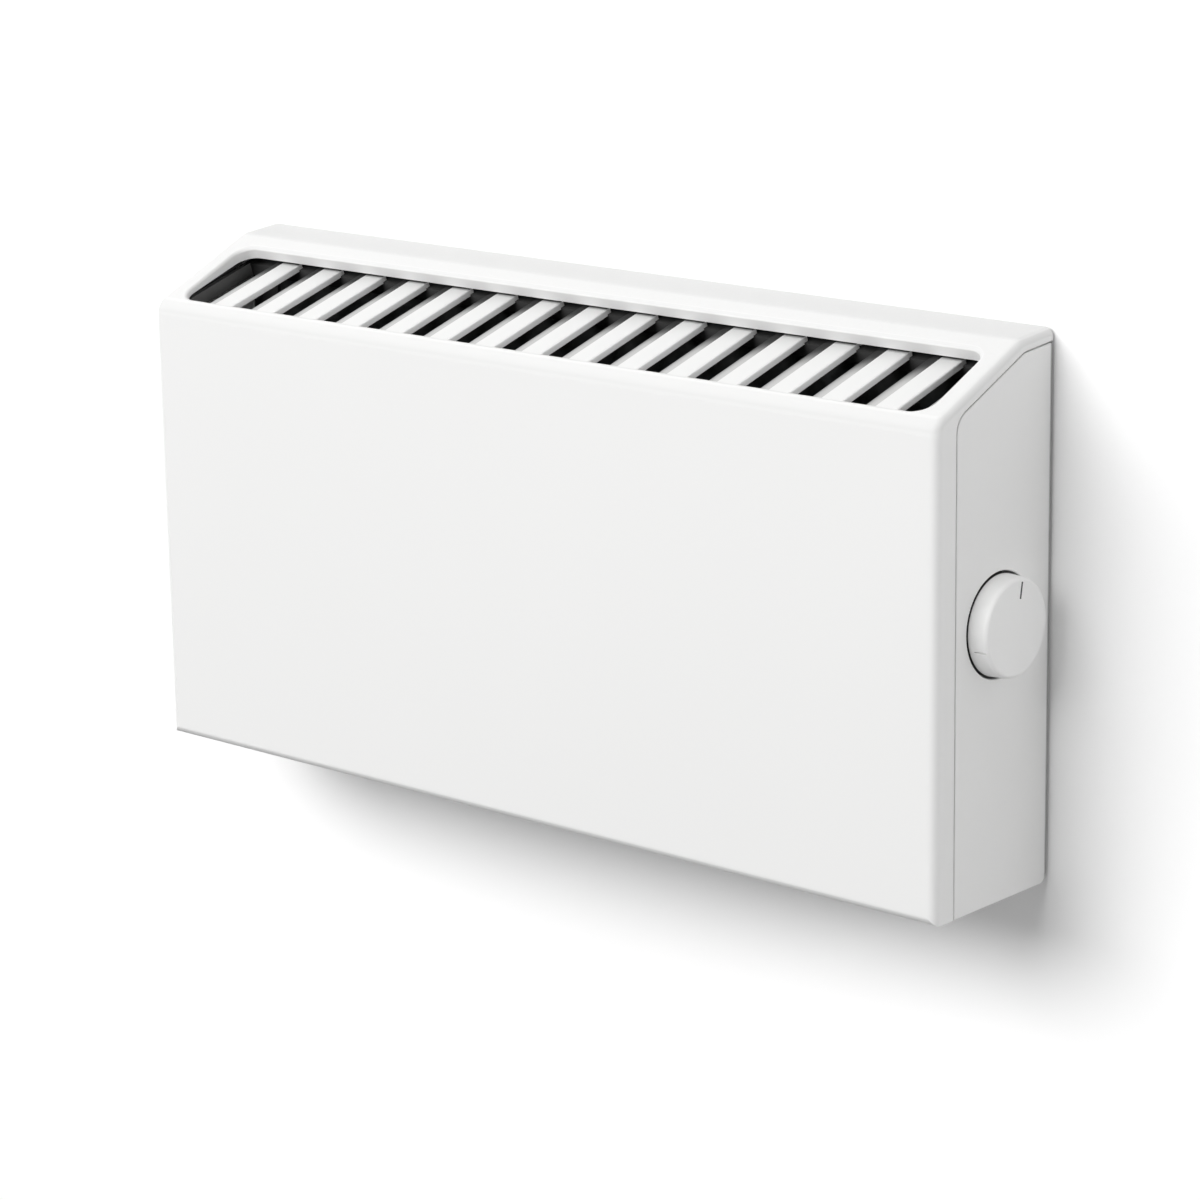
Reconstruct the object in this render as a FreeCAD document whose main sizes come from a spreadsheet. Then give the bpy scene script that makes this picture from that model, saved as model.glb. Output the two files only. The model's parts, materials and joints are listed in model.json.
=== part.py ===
import FreeCAD
import Part
import Sketcher
import math
import os

# Wall-hung panel heater in millimetres: X along the width, the wall at Y = 0, the front towards -Y, Z up.
# The origin is the middle of the bracket's four wall screws.

V = FreeCAD.Vector

SIZES = {
    # casing
    "width": 482,
    "height": 250,
    "depth": 82,
    "wall_gap": 1.5,
    "front_drop": 29,
    "strip_depth": 22,
    "strip_drop": 2,
    "shell": 2.2,
    "edge_radius": 4,
    "bend_radius": 9,
    "seam_setback": 13.6,
    "seam_inset": 5.8,
    "seam_gap": 0.6,
    "seam_round": 0.45,
    "seam_radius": 10,
    "tuck": 6,
    "tuck_top": 2.8,
    "tuck_wall": 2,
    "corner_radius": 5,
    # outlet opening in the slope and the grille under it
    "outlet_inset": 11.4,
    "outlet_low": 7.3,
    "outlet_high": 10.5,
    "outlet_corner": 9,
    "lip_depth": 5.5,
    "lip_wall": 1.8,
    "lip_round": 1.9,
    "lip_clearance": 0.4,
    "lip_tilt": 4.6,
    "grille_tilt": 7.6,
    "slat_count": 15,
    "slat_shift": 1.5,
    "slat_end": 25.2,
    "slat_depth": 3,
    "slat_top": 11.4,
    "slat_wall": 2,
    "slat_height": 3.1,
    "slat_edge": 0.8,
    "slat_round": 16,
    "vane_drop": 6.6,
    "frame_drop": 2.4,
    "frame_height": 6.6,
    "frame_bar": 6,
    "frame_clearance": 0.6,
    "frame_setback": 3,
    "grille_boss_radius": 3.2,
    # air inlet in the bottom
    "inlet_count": 28,
    "inlet_margin": 50,
    "inlet_slot": 5,
    "inlet_length": 42,
    # back panel, bracket and spacers
    "standoff": 12,
    "sheet": 0.8,
    "bracket_sheet": 1.5,
    "bracket_half": 140,
    "wall_screw_inset": 30,
    "bracket_rise": 30,
    "wall_hole_radius": 2.75,
    "hook_height": 10,
    "hook_tip": 5,
    "hook_reach": 4.5,
    "fold_clearance": 0.3,
    "spacer_radius": 7,
    "spacer_inset": 29,
    "spacer_rise": 24,
    "side_flange": 14,
    "side_rib": 5,
    "low_flange": 10,
    "back_fold": 5,
    "bead_width": 9,
    "bead_height": 1.2,
    "bead_level": 62,
    # screws
    "screw_radius": 1.7,
    "screw_head": 3.4,
    "screw_head_height": 2,
    "screw_clearance": 0.05,
    "small_screw_radius": 1.3,
    "small_screw_head": 2.6,
    # heating element
    "element_bay": 45,
    "thermostat_bay": 110,
    "element_rise": 57,
    "element_core": 7,
    "element_arm": 32,
    "element_spread": 32,
    "element_fin": 2,
    "element_slot": 4,
    "element_slots": 26,
    "sheath_radius": 4,
    "sheath_overhang": 18,
    "bushing_radius": 7,
    "bushing_length": 12,
    "pin_radius": 1.5,
    "pin_length": 12,
    "support_sheet": 1.2,
    "support_gap": 8,
    "support_foot": 14,
    "support_height": 50,
    "shield_gap": 12,
    "shield_rise": 19,
    "shield_height": 146,
    "shield_fold": 10,
    "shield_post": 5,
    # thermostat and knob
    "knob_margin": 5.55,
    "knob_clear": 0.3,
    "knob_rise": 0.6,
    "knob_proud": 9.2,
    "knob_draft": 3,
    "knob_wall": 2.4,
    "knob_edge": 2,
    "knob_gap": 0.8,
    "hub_radius": 7,
    "well_depth": 8,
    "well_wall": 1.2,
    "shaft_radius": 3,
    "shaft_fit": 0.05,
    "shaft_hole": 4.5,
    "shaft_flat": 1,
    "shaft_in_knob": 10,
    "shaft_in_body": 22,
    "index_length": 7.5,
    "index_width": 1.1,
    "index_inset": 2.8,
    "index_depth": 0.5,
    "index_angle": 10,
    "rim_mark_angle": 199,
    "rim_mark_width": 0.8,
    "rim_mark_depth": 1.8,
    "rim_mark_length": 6,
    "thermostat_face": 19,
    "thermostat_length": 36,
    "thermostat_half": 17,
    "thermostat_screw": 12,
    "thermostat_screw_length": 7,
    "thermostat_foot_screw": 15,
    "collar_radius": 5,
    "collar_length": 4.5,
    "tab_length": 8,
    "tab_width": 6.3,
    "tab_sheet": 0.8,
    "tab_spacing": 14,
    "bulb_radius": 3,
    "bulb_length": 80,
    "bulb_rise": 13,
    "clip_wall": 2,
    "capillary_radius": 1,
    # cut-out, terminals and wiring
    "cutout_inset": 61,
    "cutout_rise": 80,
    "cutout_radius": 8,
    "cutout_flange": 1.2,
    "cutout_length": 11,
    "cutout_screw": 12,
    "terminal_inset": 54,
    "terminal_rise": 52,
    "terminal_width": 40,
    "terminal_depth": 18,
    "terminal_height": 22,
    "terminal_pitch": 11,
    "clamp_radius": 2.4,
    "grommet_rise": 26,
    "grommet_radius": 8,
    "grommet_rim": 1.6,
    "inlet_radius": 4,
    "earth_inset": 27,
    "earth_rise": 67,
    "wire_radius": 1.2,
    "wire_bend": 7,
    "wire_lead": 10,
}

DERIVED = {
    "half_width": "width / 2",
    "bottom": "-height / 2",
    "top": "height / 2",
    "rear_y": "-wall_gap",
    "front_y": "-wall_gap - depth",
    "front_top": "top - front_drop",
    "bend_y": "rear_y - strip_depth",
    "bend_z": "top - strip_drop",
    "tan_slope": "(bend_z - front_top) / (bend_y - front_y)",
    "slope_angle": "atan(tan_slope)",
    "cos_slope": "cos(slope_angle)",
    "outlet_reach": "(bend_y - front_y) / cos_slope - outlet_low - outlet_high",
    "sin_slope": "sin(slope_angle)",
    "tan_strip": "strip_drop / strip_depth",
    "cos_strip": "cos(atan(tan_strip))",
    "bend_shift": "(1 / cos_slope - 1 / cos_strip) / (tan_slope - tan_strip)",
    "seam_y": "front_y + seam_setback",
    "inner_x": "half_width - shell",
    "outlet_half": "half_width - outlet_inset",
    "slat_pitch": "2 * (outlet_half - slat_end) / (slat_count - 1)",
    "grille_boss_spacing": "width * 0.31",
    "grille_angle": "slope_angle - grille_tilt * 1 deg",
    "cos_grille": "cos(grille_angle)",
    "sin_grille": "sin(grille_angle)",
    "grille_y": "front_y + outlet_low * cos_slope + slat_depth * sin_slope",
    "grille_z": "front_top + outlet_low * sin_slope - slat_depth * cos_slope",
    "lip_angle": "slope_angle - lip_tilt * 1 deg",
    "lip_low": "slat_depth - lip_clearance",
    "lip_y": "front_y + outlet_low * cos_slope + lip_low * sin_slope",
    "lip_z": "front_top + outlet_low * sin_slope - lip_low * cos_slope",
    "grille_rear": "outlet_reach + frame_bar + 2 * grille_boss_radius + 1",
    "boss_along": "grille_rear - grille_boss_radius - 0.6",
    "inlet_pitch": "2 * (inner_x - inlet_margin) / (inlet_count - 1)",
    "wall_screw_x": "2 * (bracket_half - wall_screw_inset)",
    "wall_screw_z": "bracket_rise * 1.2",
    "hook_step": "bracket_rise + 2",
    "back_y": "-standoff",
    "inner_back": "-standoff - sheet",
    "back_half": "inner_x - tuck_wall - fold_clearance",
    "back_top": "top - 6",
    "back_bottom": "bottom + shell + fold_clearance",
    "side_screw_x": "inner_x - side_flange + 5",
    "side_screw_z": "height * 0.32",
    "low_screw_x": "width / 4",
    "low_screw_z": "bottom + shell + low_flange * 0.55",
    "cover_screw_x": "width * 0.31",
    "cover_screw_y": "seam_y - tuck / 2",
    "spacer_x": "half_width - spacer_inset",
    "element_left": "element_bay - half_width",
    "element_right": "half_width - thermostat_bay",
    "shield_y": "inner_back - shield_gap",
    "element_y": "(front_y + shell + shield_y - sheet) / 2",
    "element_z": "bottom + element_rise",
    "shield_bottom": "bottom + shield_rise",
    "shield_top": "shield_bottom + shield_height",
    "support_left": "element_left - support_gap",
    "support_right": "element_right + support_gap",
    "foot_screw_z": "support_height / 2 - 9",
    "sheath_left": "element_left - sheath_overhang",
    "sheath_right": "element_right + sheath_overhang",
    "knob_radius": "(inner_back - seam_y) / 2 - knob_margin",
    "knob_y": "inner_back - knob_clear - well_wall - knob_gap - knob_radius",
    "knob_z": "knob_rise",
    "knob_face": "half_width + knob_proud",
    "well_floor": "half_width - well_depth",
    "knob_back": "well_floor + 1",
    "thermostat_x": "half_width - thermostat_face",
    "thermostat_end": "thermostat_x - thermostat_length",
    "tab_end": "thermostat_end - tab_length",
    "shaft_start": "thermostat_x - shaft_in_body",
    "shaft_end": "knob_back + shaft_in_knob",
    "bulb_y": "element_y + 2",
    "bulb_z": "bottom + bulb_rise",
    "clip_x": "7 * inlet_pitch",
    "bulb_end": "clip_x + bulb_length * 0.4",
    "terminal_x": "half_width - terminal_inset",
    "terminal_z": "bottom + terminal_rise",
    "grommet_z": "bottom + grommet_rise",
    "earth_x": "half_width - earth_inset",
    "earth_z": "bottom + earth_rise",
    "cutout_x": "element_right - cutout_inset",
    "cutout_z": "element_z + cutout_rise",
    "terminal_top": "terminal_z + terminal_height / 2",
    "terminal_front": "inner_back - terminal_depth",
    "cutout_front": "shield_y - sheet - cutout_length",
}

doc = FreeCAD.newDocument("panel_heater")
sheet = doc.addObject("Spreadsheet::Sheet", "dims")
row = 0
for alias, number in SIZES.items():
    row += 1
    sheet.set(f"B{row}", str(number))
    sheet.setAlias(f"B{row}", alias)
for alias, formula in DERIVED.items():
    row += 1
    sheet.set(f"B{row}", "=" + formula)
    sheet.setAlias(f"B{row}", alias)
doc.recompute()

pieces = []


def value(formula):
    """Number that a formula over the sheet gives."""
    return float(sheet.evalExpression(formula))


def spot(x, y, z):
    """Point whose coordinates are formulas."""
    return V(value(x), value(y), value(z))


def new_body(name):
    body = doc.addObject("PartDesign::Body", name)
    body.Label = name
    pieces.append(body)
    return body


def origin_feature(body, role):
    return [item for item in body.Origin.OriginFeatures if item.Role == role][0]


def new_sketch(body, plane, offset="0"):
    """Sketch on one of the body's own planes, moved along the plane's normal."""
    sketch = body.newObject("Sketcher::SketchObject", body.Name + "_sketch")
    sketch.AttachmentSupport = [(origin_feature(body, plane), "")]
    sketch.MapMode = "FlatFace"
    sketch.setExpression("AttachmentOffset.Base.z", offset)
    return sketch


def tilted_sketch(body, plane, angle, first, second):
    """Sketch on a plane turned about X by an angle and moved within and along that plane's own axes."""
    sketch = new_sketch(body, plane, second)
    sketch.AttachmentOffset = FreeCAD.Placement(V(), FreeCAD.Rotation(V(1, 0, 0), 1))
    sketch.setExpression("AttachmentOffset.Base.y", first)
    sketch.setExpression("AttachmentOffset.Base.z", second)
    sketch.setExpression("AttachmentOffset.Rotation.Angle", angle)
    return sketch


def slope_sketch(body, depth):
    """Sketch parallel to the slope: x along the width, y up the slope from the front corner."""
    return tilted_sketch(body, "XY_Plane", "dims.slope_angle", f"dims.front_y + ({depth}) * dims.sin_slope",
                         f"dims.front_top - ({depth}) * dims.cos_slope")


def grille_sketch(body, drop):
    """Sketch parallel to the grille: x along the width, y up the grille from the opening's front edge."""
    return tilted_sketch(body, "XY_Plane", "dims.grille_angle",
                         f"dims.grille_y + ({drop}) * dims.sin_grille",
                         f"dims.grille_z - ({drop}) * dims.cos_grille")


def bind_constraint(sketch, kind, parts, formula):
    index = sketch.addConstraint(Sketcher.Constraint(kind, *parts, value(formula)))
    sketch.setExpression(f"Constraints[{index}]", formula)


def pin(sketch, geometry, end, x, y):
    """Ties a point of the sketch to the sketch's origin by two formulas."""
    bind_constraint(sketch, "DistanceX", (-1, 1, geometry, end), x)
    bind_constraint(sketch, "DistanceY", (-1, 1, geometry, end), y)


def draw_circle(sketch, x, y, radius):
    circle = Part.Circle(V(value(x), value(y), 0), V(0, 0, 1), value(radius))
    index = sketch.addGeometry(circle)
    pin(sketch, index, 3, x, y)
    bind_constraint(sketch, "Radius", (index,), radius)


def draw_outline(sketch, corners):
    """Closed outline through corners (x, y) or, where the corner is rounded, (x, y, radius)."""
    count = len(corners)
    spots = [V(value(corner[0]), value(corner[1]), 0) for corner in corners]
    runs = [(spots[(i + 1) % count] - spots[i]).normalize() for i in range(count)]
    backs = []
    for i, corner in enumerate(corners):
        turn = runs[i - 1].getAngle(runs[i])
        backs.append(value(corner[2]) * math.tan(turn / 2) if len(corner) > 2 else 0)
    lines = []
    for i in range(count):
        start = spots[i] + runs[i] * backs[i]
        end = spots[(i + 1) % count] - runs[i] * backs[(i + 1) % count]
        lines.append(sketch.addGeometry(Part.LineSegment(start, end)))
    for i, corner in enumerate(corners):
        before, after = lines[i - 1], lines[i]
        if len(corner) == 2:
            sketch.addConstraint(Sketcher.Constraint("Coincident", before, 2, after, 1))
            pin(sketch, after, 1, corner[0], corner[1])
            continue
        point = sketch.addGeometry(Part.Point(spots[i]), True)
        pin(sketch, point, 1, corner[0], corner[1])
        sketch.addConstraint(Sketcher.Constraint("PointOnObject", point, 1, before))
        sketch.addConstraint(Sketcher.Constraint("PointOnObject", point, 1, after))
        left_turn = runs[i - 1].cross(runs[i]).z > 0
        side = V(-runs[i - 1].y, runs[i - 1].x, 0) * (1 if left_turn else -1)
        radius = value(corner[2])
        middle = spots[i] - runs[i - 1] * backs[i] + side * radius
        first = spots[i] - runs[i - 1] * backs[i] - middle
        last = spots[i] + runs[i] * backs[i] - middle
        if not left_turn:
            first, last = last, first
        begin = math.atan2(first.y, first.x)
        sweep = first.getAngle(last)
        circle = Part.Circle(middle, V(0, 0, 1), radius)
        arc = sketch.addGeometry(Part.ArcOfCircle(circle, begin, begin + sweep))
        ends = (1, 2) if left_turn else (2, 1)
        sketch.addConstraint(Sketcher.Constraint("Tangent", before, 2, arc, ends[0]))
        sketch.addConstraint(Sketcher.Constraint("Tangent", arc, ends[1], after, 1))
        bind_constraint(sketch, "Radius", (arc,), corner[2])


def rectangle(left, right, low, high, radius=None):
    corners = [(left, low), (right, low), (right, high), (left, high)]
    return [corner + (radius,) for corner in corners] if radius else corners


def extrude(body, kind, sketch, length, symmetric=False, reverse=False):
    """Pad or Pocket of a sketch; a pocket that cuts nothing is an error."""
    volume = body.Shape.Volume if kind == "Pocket" else 0
    feature = body.newObject("PartDesign::" + kind, body.Name + "_" + kind.lower())
    feature.Profile = sketch
    feature.SideType = "Symmetric" if symmetric else "One side"
    feature.Reversed = reverse
    feature.setExpression("Length", length)
    doc.recompute()
    if kind == "Pocket" and body.Shape.Volume > volume - 1e-3:
        raise RuntimeError(feature.Name + " cuts nothing")
    return feature


def block(body, kind, plane, offset, length, corners, reverse=False):
    """Pad or Pocket of an outline drawn on one of the body's planes."""
    sketch = new_sketch(body, plane, offset)
    draw_outline(sketch, corners)
    return extrude(body, kind, sketch, length, reverse=reverse)


def drill(body, plane, offset, length, holes, reverse=False, kind="Pocket"):
    """Round holes, or round bosses, each given as x, y and radius on one of the body's planes."""
    sketch = new_sketch(body, plane, offset)
    for x, y, radius in holes:
        draw_circle(sketch, x, y, radius)
    return extrude(body, kind, sketch, length, reverse=reverse)


def repeat(body, feature, spacing, count):
    """Row of a feature along X."""
    pattern = body.newObject("PartDesign::LinearPattern", body.Name + "_row")
    pattern.Originals = [feature]
    pattern.Direction = (origin_feature(body, "X_Axis"), [""])
    pattern.setExpression("Length", f"({spacing}) * ({count} - 1)")
    pattern.setExpression("Occurrences", count)
    body.Tip = pattern
    doc.recompute()
    return pattern


def round_edges(body, radius, wanted, kind="Fillet"):
    """Fillet or Chamfer of the edges of the body for which wanted(edge) is true."""
    base = body.Tip
    names = [f"Edge{i + 1}" for i, edge in enumerate(base.Shape.Edges) if wanted(edge)]
    if not names:
        raise RuntimeError(body.Name + " has no edge to round")
    feature = body.newObject("PartDesign::" + kind, body.Name + "_" + kind.lower())
    feature.Base = (base, names)
    feature.setExpression("Radius" if kind == "Fillet" else "Size", radius)
    doc.recompute()
    return feature


def near(first, second):
    return abs(first - second) < 1e-4


def all_at(edge, pick, target):
    """True where the whole edge lies at one value of a coordinate."""
    return near(pick(edge.BoundBox)[0], target) and near(pick(edge.BoundBox)[1], target)


def span_x(box):
    return box.XMin, box.XMax


def span_y(box):
    return box.YMin, box.YMax


def span_z(box):
    return box.ZMin, box.ZMax


def casing_outline(front_in, top_in, rear, floor, bend=None, strip_bend=None, corner=None):
    """Side outline of the casing as (y, z), moved inwards from the front and from the slope and strip."""
    front = f"dims.front_y + ({front_in})"
    front_z = f"dims.front_top + ({front_in}) * dims.tan_slope - ({top_in}) / dims.cos_slope"
    bend_y = f"dims.bend_y + ({top_in}) * dims.bend_shift"
    bend_z = f"dims.bend_z + ({top_in}) * (dims.bend_shift * dims.tan_slope - 1 / dims.cos_slope)"
    rear_z = f"dims.bend_z + ({rear} - dims.bend_y) * dims.tan_strip - ({top_in}) / dims.cos_strip"
    corners = [(rear, floor), (rear, rear_z), (bend_y, bend_z), (front, front_z), (front, floor)]
    for index, radius in ((0, corner), (2, strip_bend), (3, bend)):
        if radius:
            corners[index] = corners[index] + (radius,)
    return corners


def outlet_outline(grow):
    """Rounded outlet opening on the slope, grown outwards."""
    side = f"dims.outlet_half + ({grow})"
    return rectangle(f"-({side})", side, f"dims.outlet_low - ({grow})",
                     f"dims.outlet_low + dims.outlet_reach + ({grow})", f"dims.outlet_corner + ({grow})")


def front_cover():
    body = new_body("front_cover")
    sketch = new_sketch(body, "YZ_Plane")
    draw_outline(sketch, casing_outline("0", "0", "dims.rear_y", "dims.bottom", "dims.bend_radius",
                                        "dims.bend_radius"))
    extrude(body, "Pad", sketch, "dims.width", symmetric=True)
    half, rear = value("dims.half_width"), value("dims.rear_y")
    front, bottom = value("dims.front_y"), value("dims.bottom")

    def outer_edge(edge):
        on_end = all_at(edge, span_x, half) or all_at(edge, span_x, -half)
        on_rear = all_at(edge, span_y, rear)
        on_floor = all_at(edge, span_z, bottom)
        front_low = all_at(edge, span_y, front) and on_floor
        return front_low or (on_end and not on_rear and not on_floor)

    round_edges(body, "dims.edge_radius", outer_edge)
    sketch = new_sketch(body, "YZ_Plane")
    draw_outline(sketch, casing_outline("dims.shell", "dims.shell", "dims.rear_y + 1",
                                        "dims.bottom + dims.shell", "dims.bend_radius - dims.shell",
                                        "dims.bend_radius - dims.shell"))
    extrude(body, "Pocket", sketch, "2 * dims.inner_x", symmetric=True)
    sketch = new_sketch(body, "YZ_Plane")
    draw_outline(sketch, casing_outline("dims.seam_setback", "dims.seam_inset", "dims.rear_y + 1",
                                        "dims.bottom - 1", "dims.seam_radius", "dims.bend_radius"))
    extrude(body, "Pocket", sketch, "dims.width + 2", symmetric=True)

    def seam_edge(edge):
        if not (all_at(edge, span_x, half) or all_at(edge, span_x, -half)):
            return False
        middle = edge.valueAt((edge.FirstParameter + edge.LastParameter) / 2)
        under_slope = value("dims.front_top - dims.seam_inset / dims.cos_slope")
        under_slope += (middle.y - front) * value("dims.tan_slope")
        under_strip = value("dims.bend_z - dims.seam_inset / dims.cos_strip")
        under_strip += (middle.y - value("dims.bend_y")) * value("dims.tan_strip")
        behind_rim = middle.y > value("dims.seam_y") - 0.01
        return behind_rim and middle.z < min(under_slope, under_strip) + 0.01

    round_edges(body, "dims.seam_round", seam_edge)
    sketch = slope_sketch(body, "dims.shell / 2")
    draw_outline(sketch, outlet_outline("dims.lip_wall"))
    extrude(body, "Pad", sketch, "dims.lip_depth + dims.outlet_reach * tan(dims.grille_tilt)", reverse=True)
    sketch = tilted_sketch(body, "XY_Plane", "dims.lip_angle", "dims.lip_y", "dims.lip_z")
    beyond = "dims.outlet_half + 2 * dims.lip_wall"
    draw_outline(sketch, rectangle(f"-({beyond})", beyond, "-2 * dims.lip_wall",
                                   "dims.outlet_reach + 2 * dims.lip_wall"))
    extrude(body, "Pocket", sketch, "2 * dims.lip_depth + dims.outlet_reach * tan(dims.grille_tilt)")
    sketch = grille_sketch(body, "dims.frame_drop")
    for side in (-1, 0, 1):
        draw_circle(sketch, f"{side} * dims.grille_boss_spacing", "dims.boss_along",
                    "dims.grille_boss_radius")
    extrude(body, "Pad", sketch, "dims.slat_depth + dims.frame_drop - dims.shell * 0.8"
                                 " + dims.boss_along * tan(dims.grille_tilt)")
    sketch = slope_sketch(body, "-1")
    draw_outline(sketch, outlet_outline("0"))
    extrude(body, "Pocket", sketch, "2 * dims.lip_depth + 3")
    normal = V(0, -value("dims.sin_slope"), value("dims.cos_slope"))
    on_slope = spot("0", "dims.front_y", "dims.front_top")
    outlet_half = value("dims.outlet_half")

    def lip_edge(edge):
        box = edge.BoundBox
        flat = all(near((point.Point - on_slope).dot(normal), 0) for point in edge.Vertexes)
        inside = max(-box.XMin, box.XMax) < outlet_half + 0.01
        along = (box.Center - on_slope).dot(V(0, value("dims.cos_slope"), value("dims.sin_slope")))
        past_front = along > value("dims.outlet_low") - 1
        before_rear = along < value("dims.outlet_low + dims.outlet_reach") + 1
        return flat and inside and past_front and before_rear

    round_edges(body, "dims.lip_round", lip_edge)
    sketch = grille_sketch(body, "dims.frame_drop + 1")
    for side in (-1, 0, 1):
        draw_circle(sketch, f"{side} * dims.grille_boss_spacing", "dims.boss_along",
                    "dims.small_screw_radius")
    extrude(body, "Pocket", sketch, "9", reverse=True)
    drill(body, "XY_Plane", "dims.bottom - 1", "dims.shell + 2",
          [(f"{side} * dims.cover_screw_x", "dims.cover_screw_y",
            "dims.screw_radius + dims.screw_clearance") for side in (-1, 1)], reverse=True)


def end_panel(name, side):
    """End panel flush inside the cover's rim, with a wall that tucks behind the rim and a rear flange."""
    body = new_body(name)
    inner = f"{side} * dims.inner_x"
    outwards = side < 0
    inwards = side > 0
    sketch = new_sketch(body, "YZ_Plane", inner)
    draw_outline(sketch, casing_outline("dims.seam_setback + dims.seam_gap",
                                        "dims.seam_inset + dims.seam_gap", "dims.rear_y", "dims.bottom",
                                        "dims.seam_radius - dims.seam_gap", "dims.bend_radius",
                                        "dims.corner_radius"))
    extrude(body, "Pad", sketch, "dims.shell", reverse=outwards)
    sketch = new_sketch(body, "YZ_Plane", inner)
    draw_outline(sketch, casing_outline("dims.seam_setback - dims.tuck", "dims.seam_inset - dims.tuck_top",
                                        "dims.rear_y - 6", "dims.bottom + dims.shell", "dims.seam_radius"))
    extrude(body, "Pad", sketch, "dims.tuck_wall", reverse=inwards)
    sketch = new_sketch(body, "YZ_Plane", f"{side} * (dims.inner_x - dims.tuck_wall)")
    draw_outline(sketch, casing_outline("dims.seam_setback + dims.tuck", "dims.seam_inset + dims.tuck",
                                        "dims.inner_back - dims.tuck",
                                        "dims.bottom + dims.shell + dims.tuck", "dims.seam_radius"))
    extrude(body, "Pocket", sketch, "dims.tuck_wall", reverse=inwards)
    block(body, "Pad", "YZ_Plane", inner, "dims.side_flange",
          rectangle("dims.inner_back - dims.shell", "dims.inner_back", "dims.bottom * 0.84",
                    "dims.top * 0.8"), reverse=inwards)
    for level in (-1, 1):
        block(body, "Pad", "YZ_Plane", inner, "dims.side_rib",
              rectangle("dims.seam_y + dims.tuck - 1", "dims.inner_back",
                        f"{level} * dims.height * 0.25 - dims.shell / 2",
                        f"{level} * dims.height * 0.25 + dims.shell / 2"), reverse=inwards)
    drill(body, "XZ_Plane", "-dims.inner_back - 1", "dims.shell + 2",
          [(f"{side} * dims.side_screw_x", f"{level} * dims.side_screw_z",
            "dims.screw_radius + dims.screw_clearance") for level in (-1, 1)], reverse=True)
    outer = value(f"{side} * dims.half_width")
    round_edges(body, "dims.seam_round", lambda edge: all_at(edge, span_x, outer))
    return body


def end_panel_right():
    """Right end panel, with the round well that the knob sits in."""
    body = end_panel("end_panel_right", 1)
    well = "dims.knob_radius + dims.knob_gap"
    drill(body, "YZ_Plane", "dims.inner_x", "dims.well_depth + dims.well_wall - dims.shell",
          [("dims.knob_y", "dims.knob_z", f"{well} + dims.well_wall")], reverse=True, kind="Pad")
    drill(body, "YZ_Plane", "dims.half_width + 1", "dims.well_depth + 1",
          [("dims.knob_y", "dims.knob_z", well)])
    drill(body, "YZ_Plane", "dims.half_width", "dims.well_depth + dims.well_wall + 1",
          [("dims.knob_y", "dims.knob_z", "dims.shaft_hole")])
    outer = value("dims.half_width")
    round_edges(body, "dims.seam_round",
                lambda edge: all_at(edge, span_x, outer) and len(edge.Vertexes) == 1)


def outlet_grille():
    body = new_body("outlet_grille")
    rim = "dims.outlet_half + dims.frame_bar"
    front = "dims.frame_clearance - dims.frame_bar"
    sketch = grille_sketch(body, "dims.frame_drop")
    draw_outline(sketch, rectangle(f"-({rim})", rim, front, "dims.grille_rear", "3"))
    inside = "dims.outlet_half + dims.frame_setback"
    draw_outline(sketch, rectangle(f"-({inside})", inside, "dims.frame_clearance + dims.slat_wall",
                                   "dims.outlet_reach + dims.frame_setback"))
    extrude(body, "Pad", sketch, "dims.frame_height", reverse=True)
    right = "dims.slat_top / 2"
    knee = "-dims.slat_top / 2 - dims.slat_round * tan(22.5)"
    first = "-dims.slat_pitch * (dims.slat_count - 1) / 2 + dims.slat_shift"
    low = "-dims.slat_height"
    lean = "dims.slat_wall * sin(45)"
    shape = [
        (right, low),
        (right, "0", "dims.slat_edge"),
        (knee, "0", "dims.slat_round"),
        (f"{knee} - dims.vane_drop", "-dims.vane_drop"),
        (f"{knee} - dims.vane_drop + {lean}", f"-dims.vane_drop - {lean}"),
        (f"{knee} + dims.slat_wall * tan(22.5)", "-dims.slat_wall", "dims.slat_round - dims.slat_wall"),
        (f"{right} - dims.slat_wall", "-dims.slat_wall"),
        (f"{right} - dims.slat_wall", low),
    ]
    sketch = tilted_sketch(body, "XZ_Plane", "dims.grille_angle",
                           "dims.grille_z + dims.frame_clearance * dims.sin_grille",
                           "-dims.grille_y - dims.frame_clearance * dims.cos_grille")
    draw_outline(sketch, [(f"{first} + {corner[0]}",) + corner[1:] for corner in shape])
    slat = extrude(body, "Pad", sketch, "dims.outlet_reach + dims.frame_setback + 2", reverse=True)
    # a part slat fills the corner beyond the last whole one
    repeat(body, slat, "dims.slat_pitch", "dims.slat_count + 1")
    block(body, "Pocket", "YZ_Plane", rim, "dims.slat_pitch",
          rectangle("dims.front_y", "dims.rear_y", "dims.bottom", "dims.top"), reverse=True)
    sketch = grille_sketch(body, "dims.frame_drop - 1")
    for side in (-1, 0, 1):
        draw_circle(sketch, f"{side} * dims.grille_boss_spacing", "dims.boss_along",
                    "dims.small_screw_radius + dims.screw_clearance")
    extrude(body, "Pocket", sketch, "dims.frame_height + 2")


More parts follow.
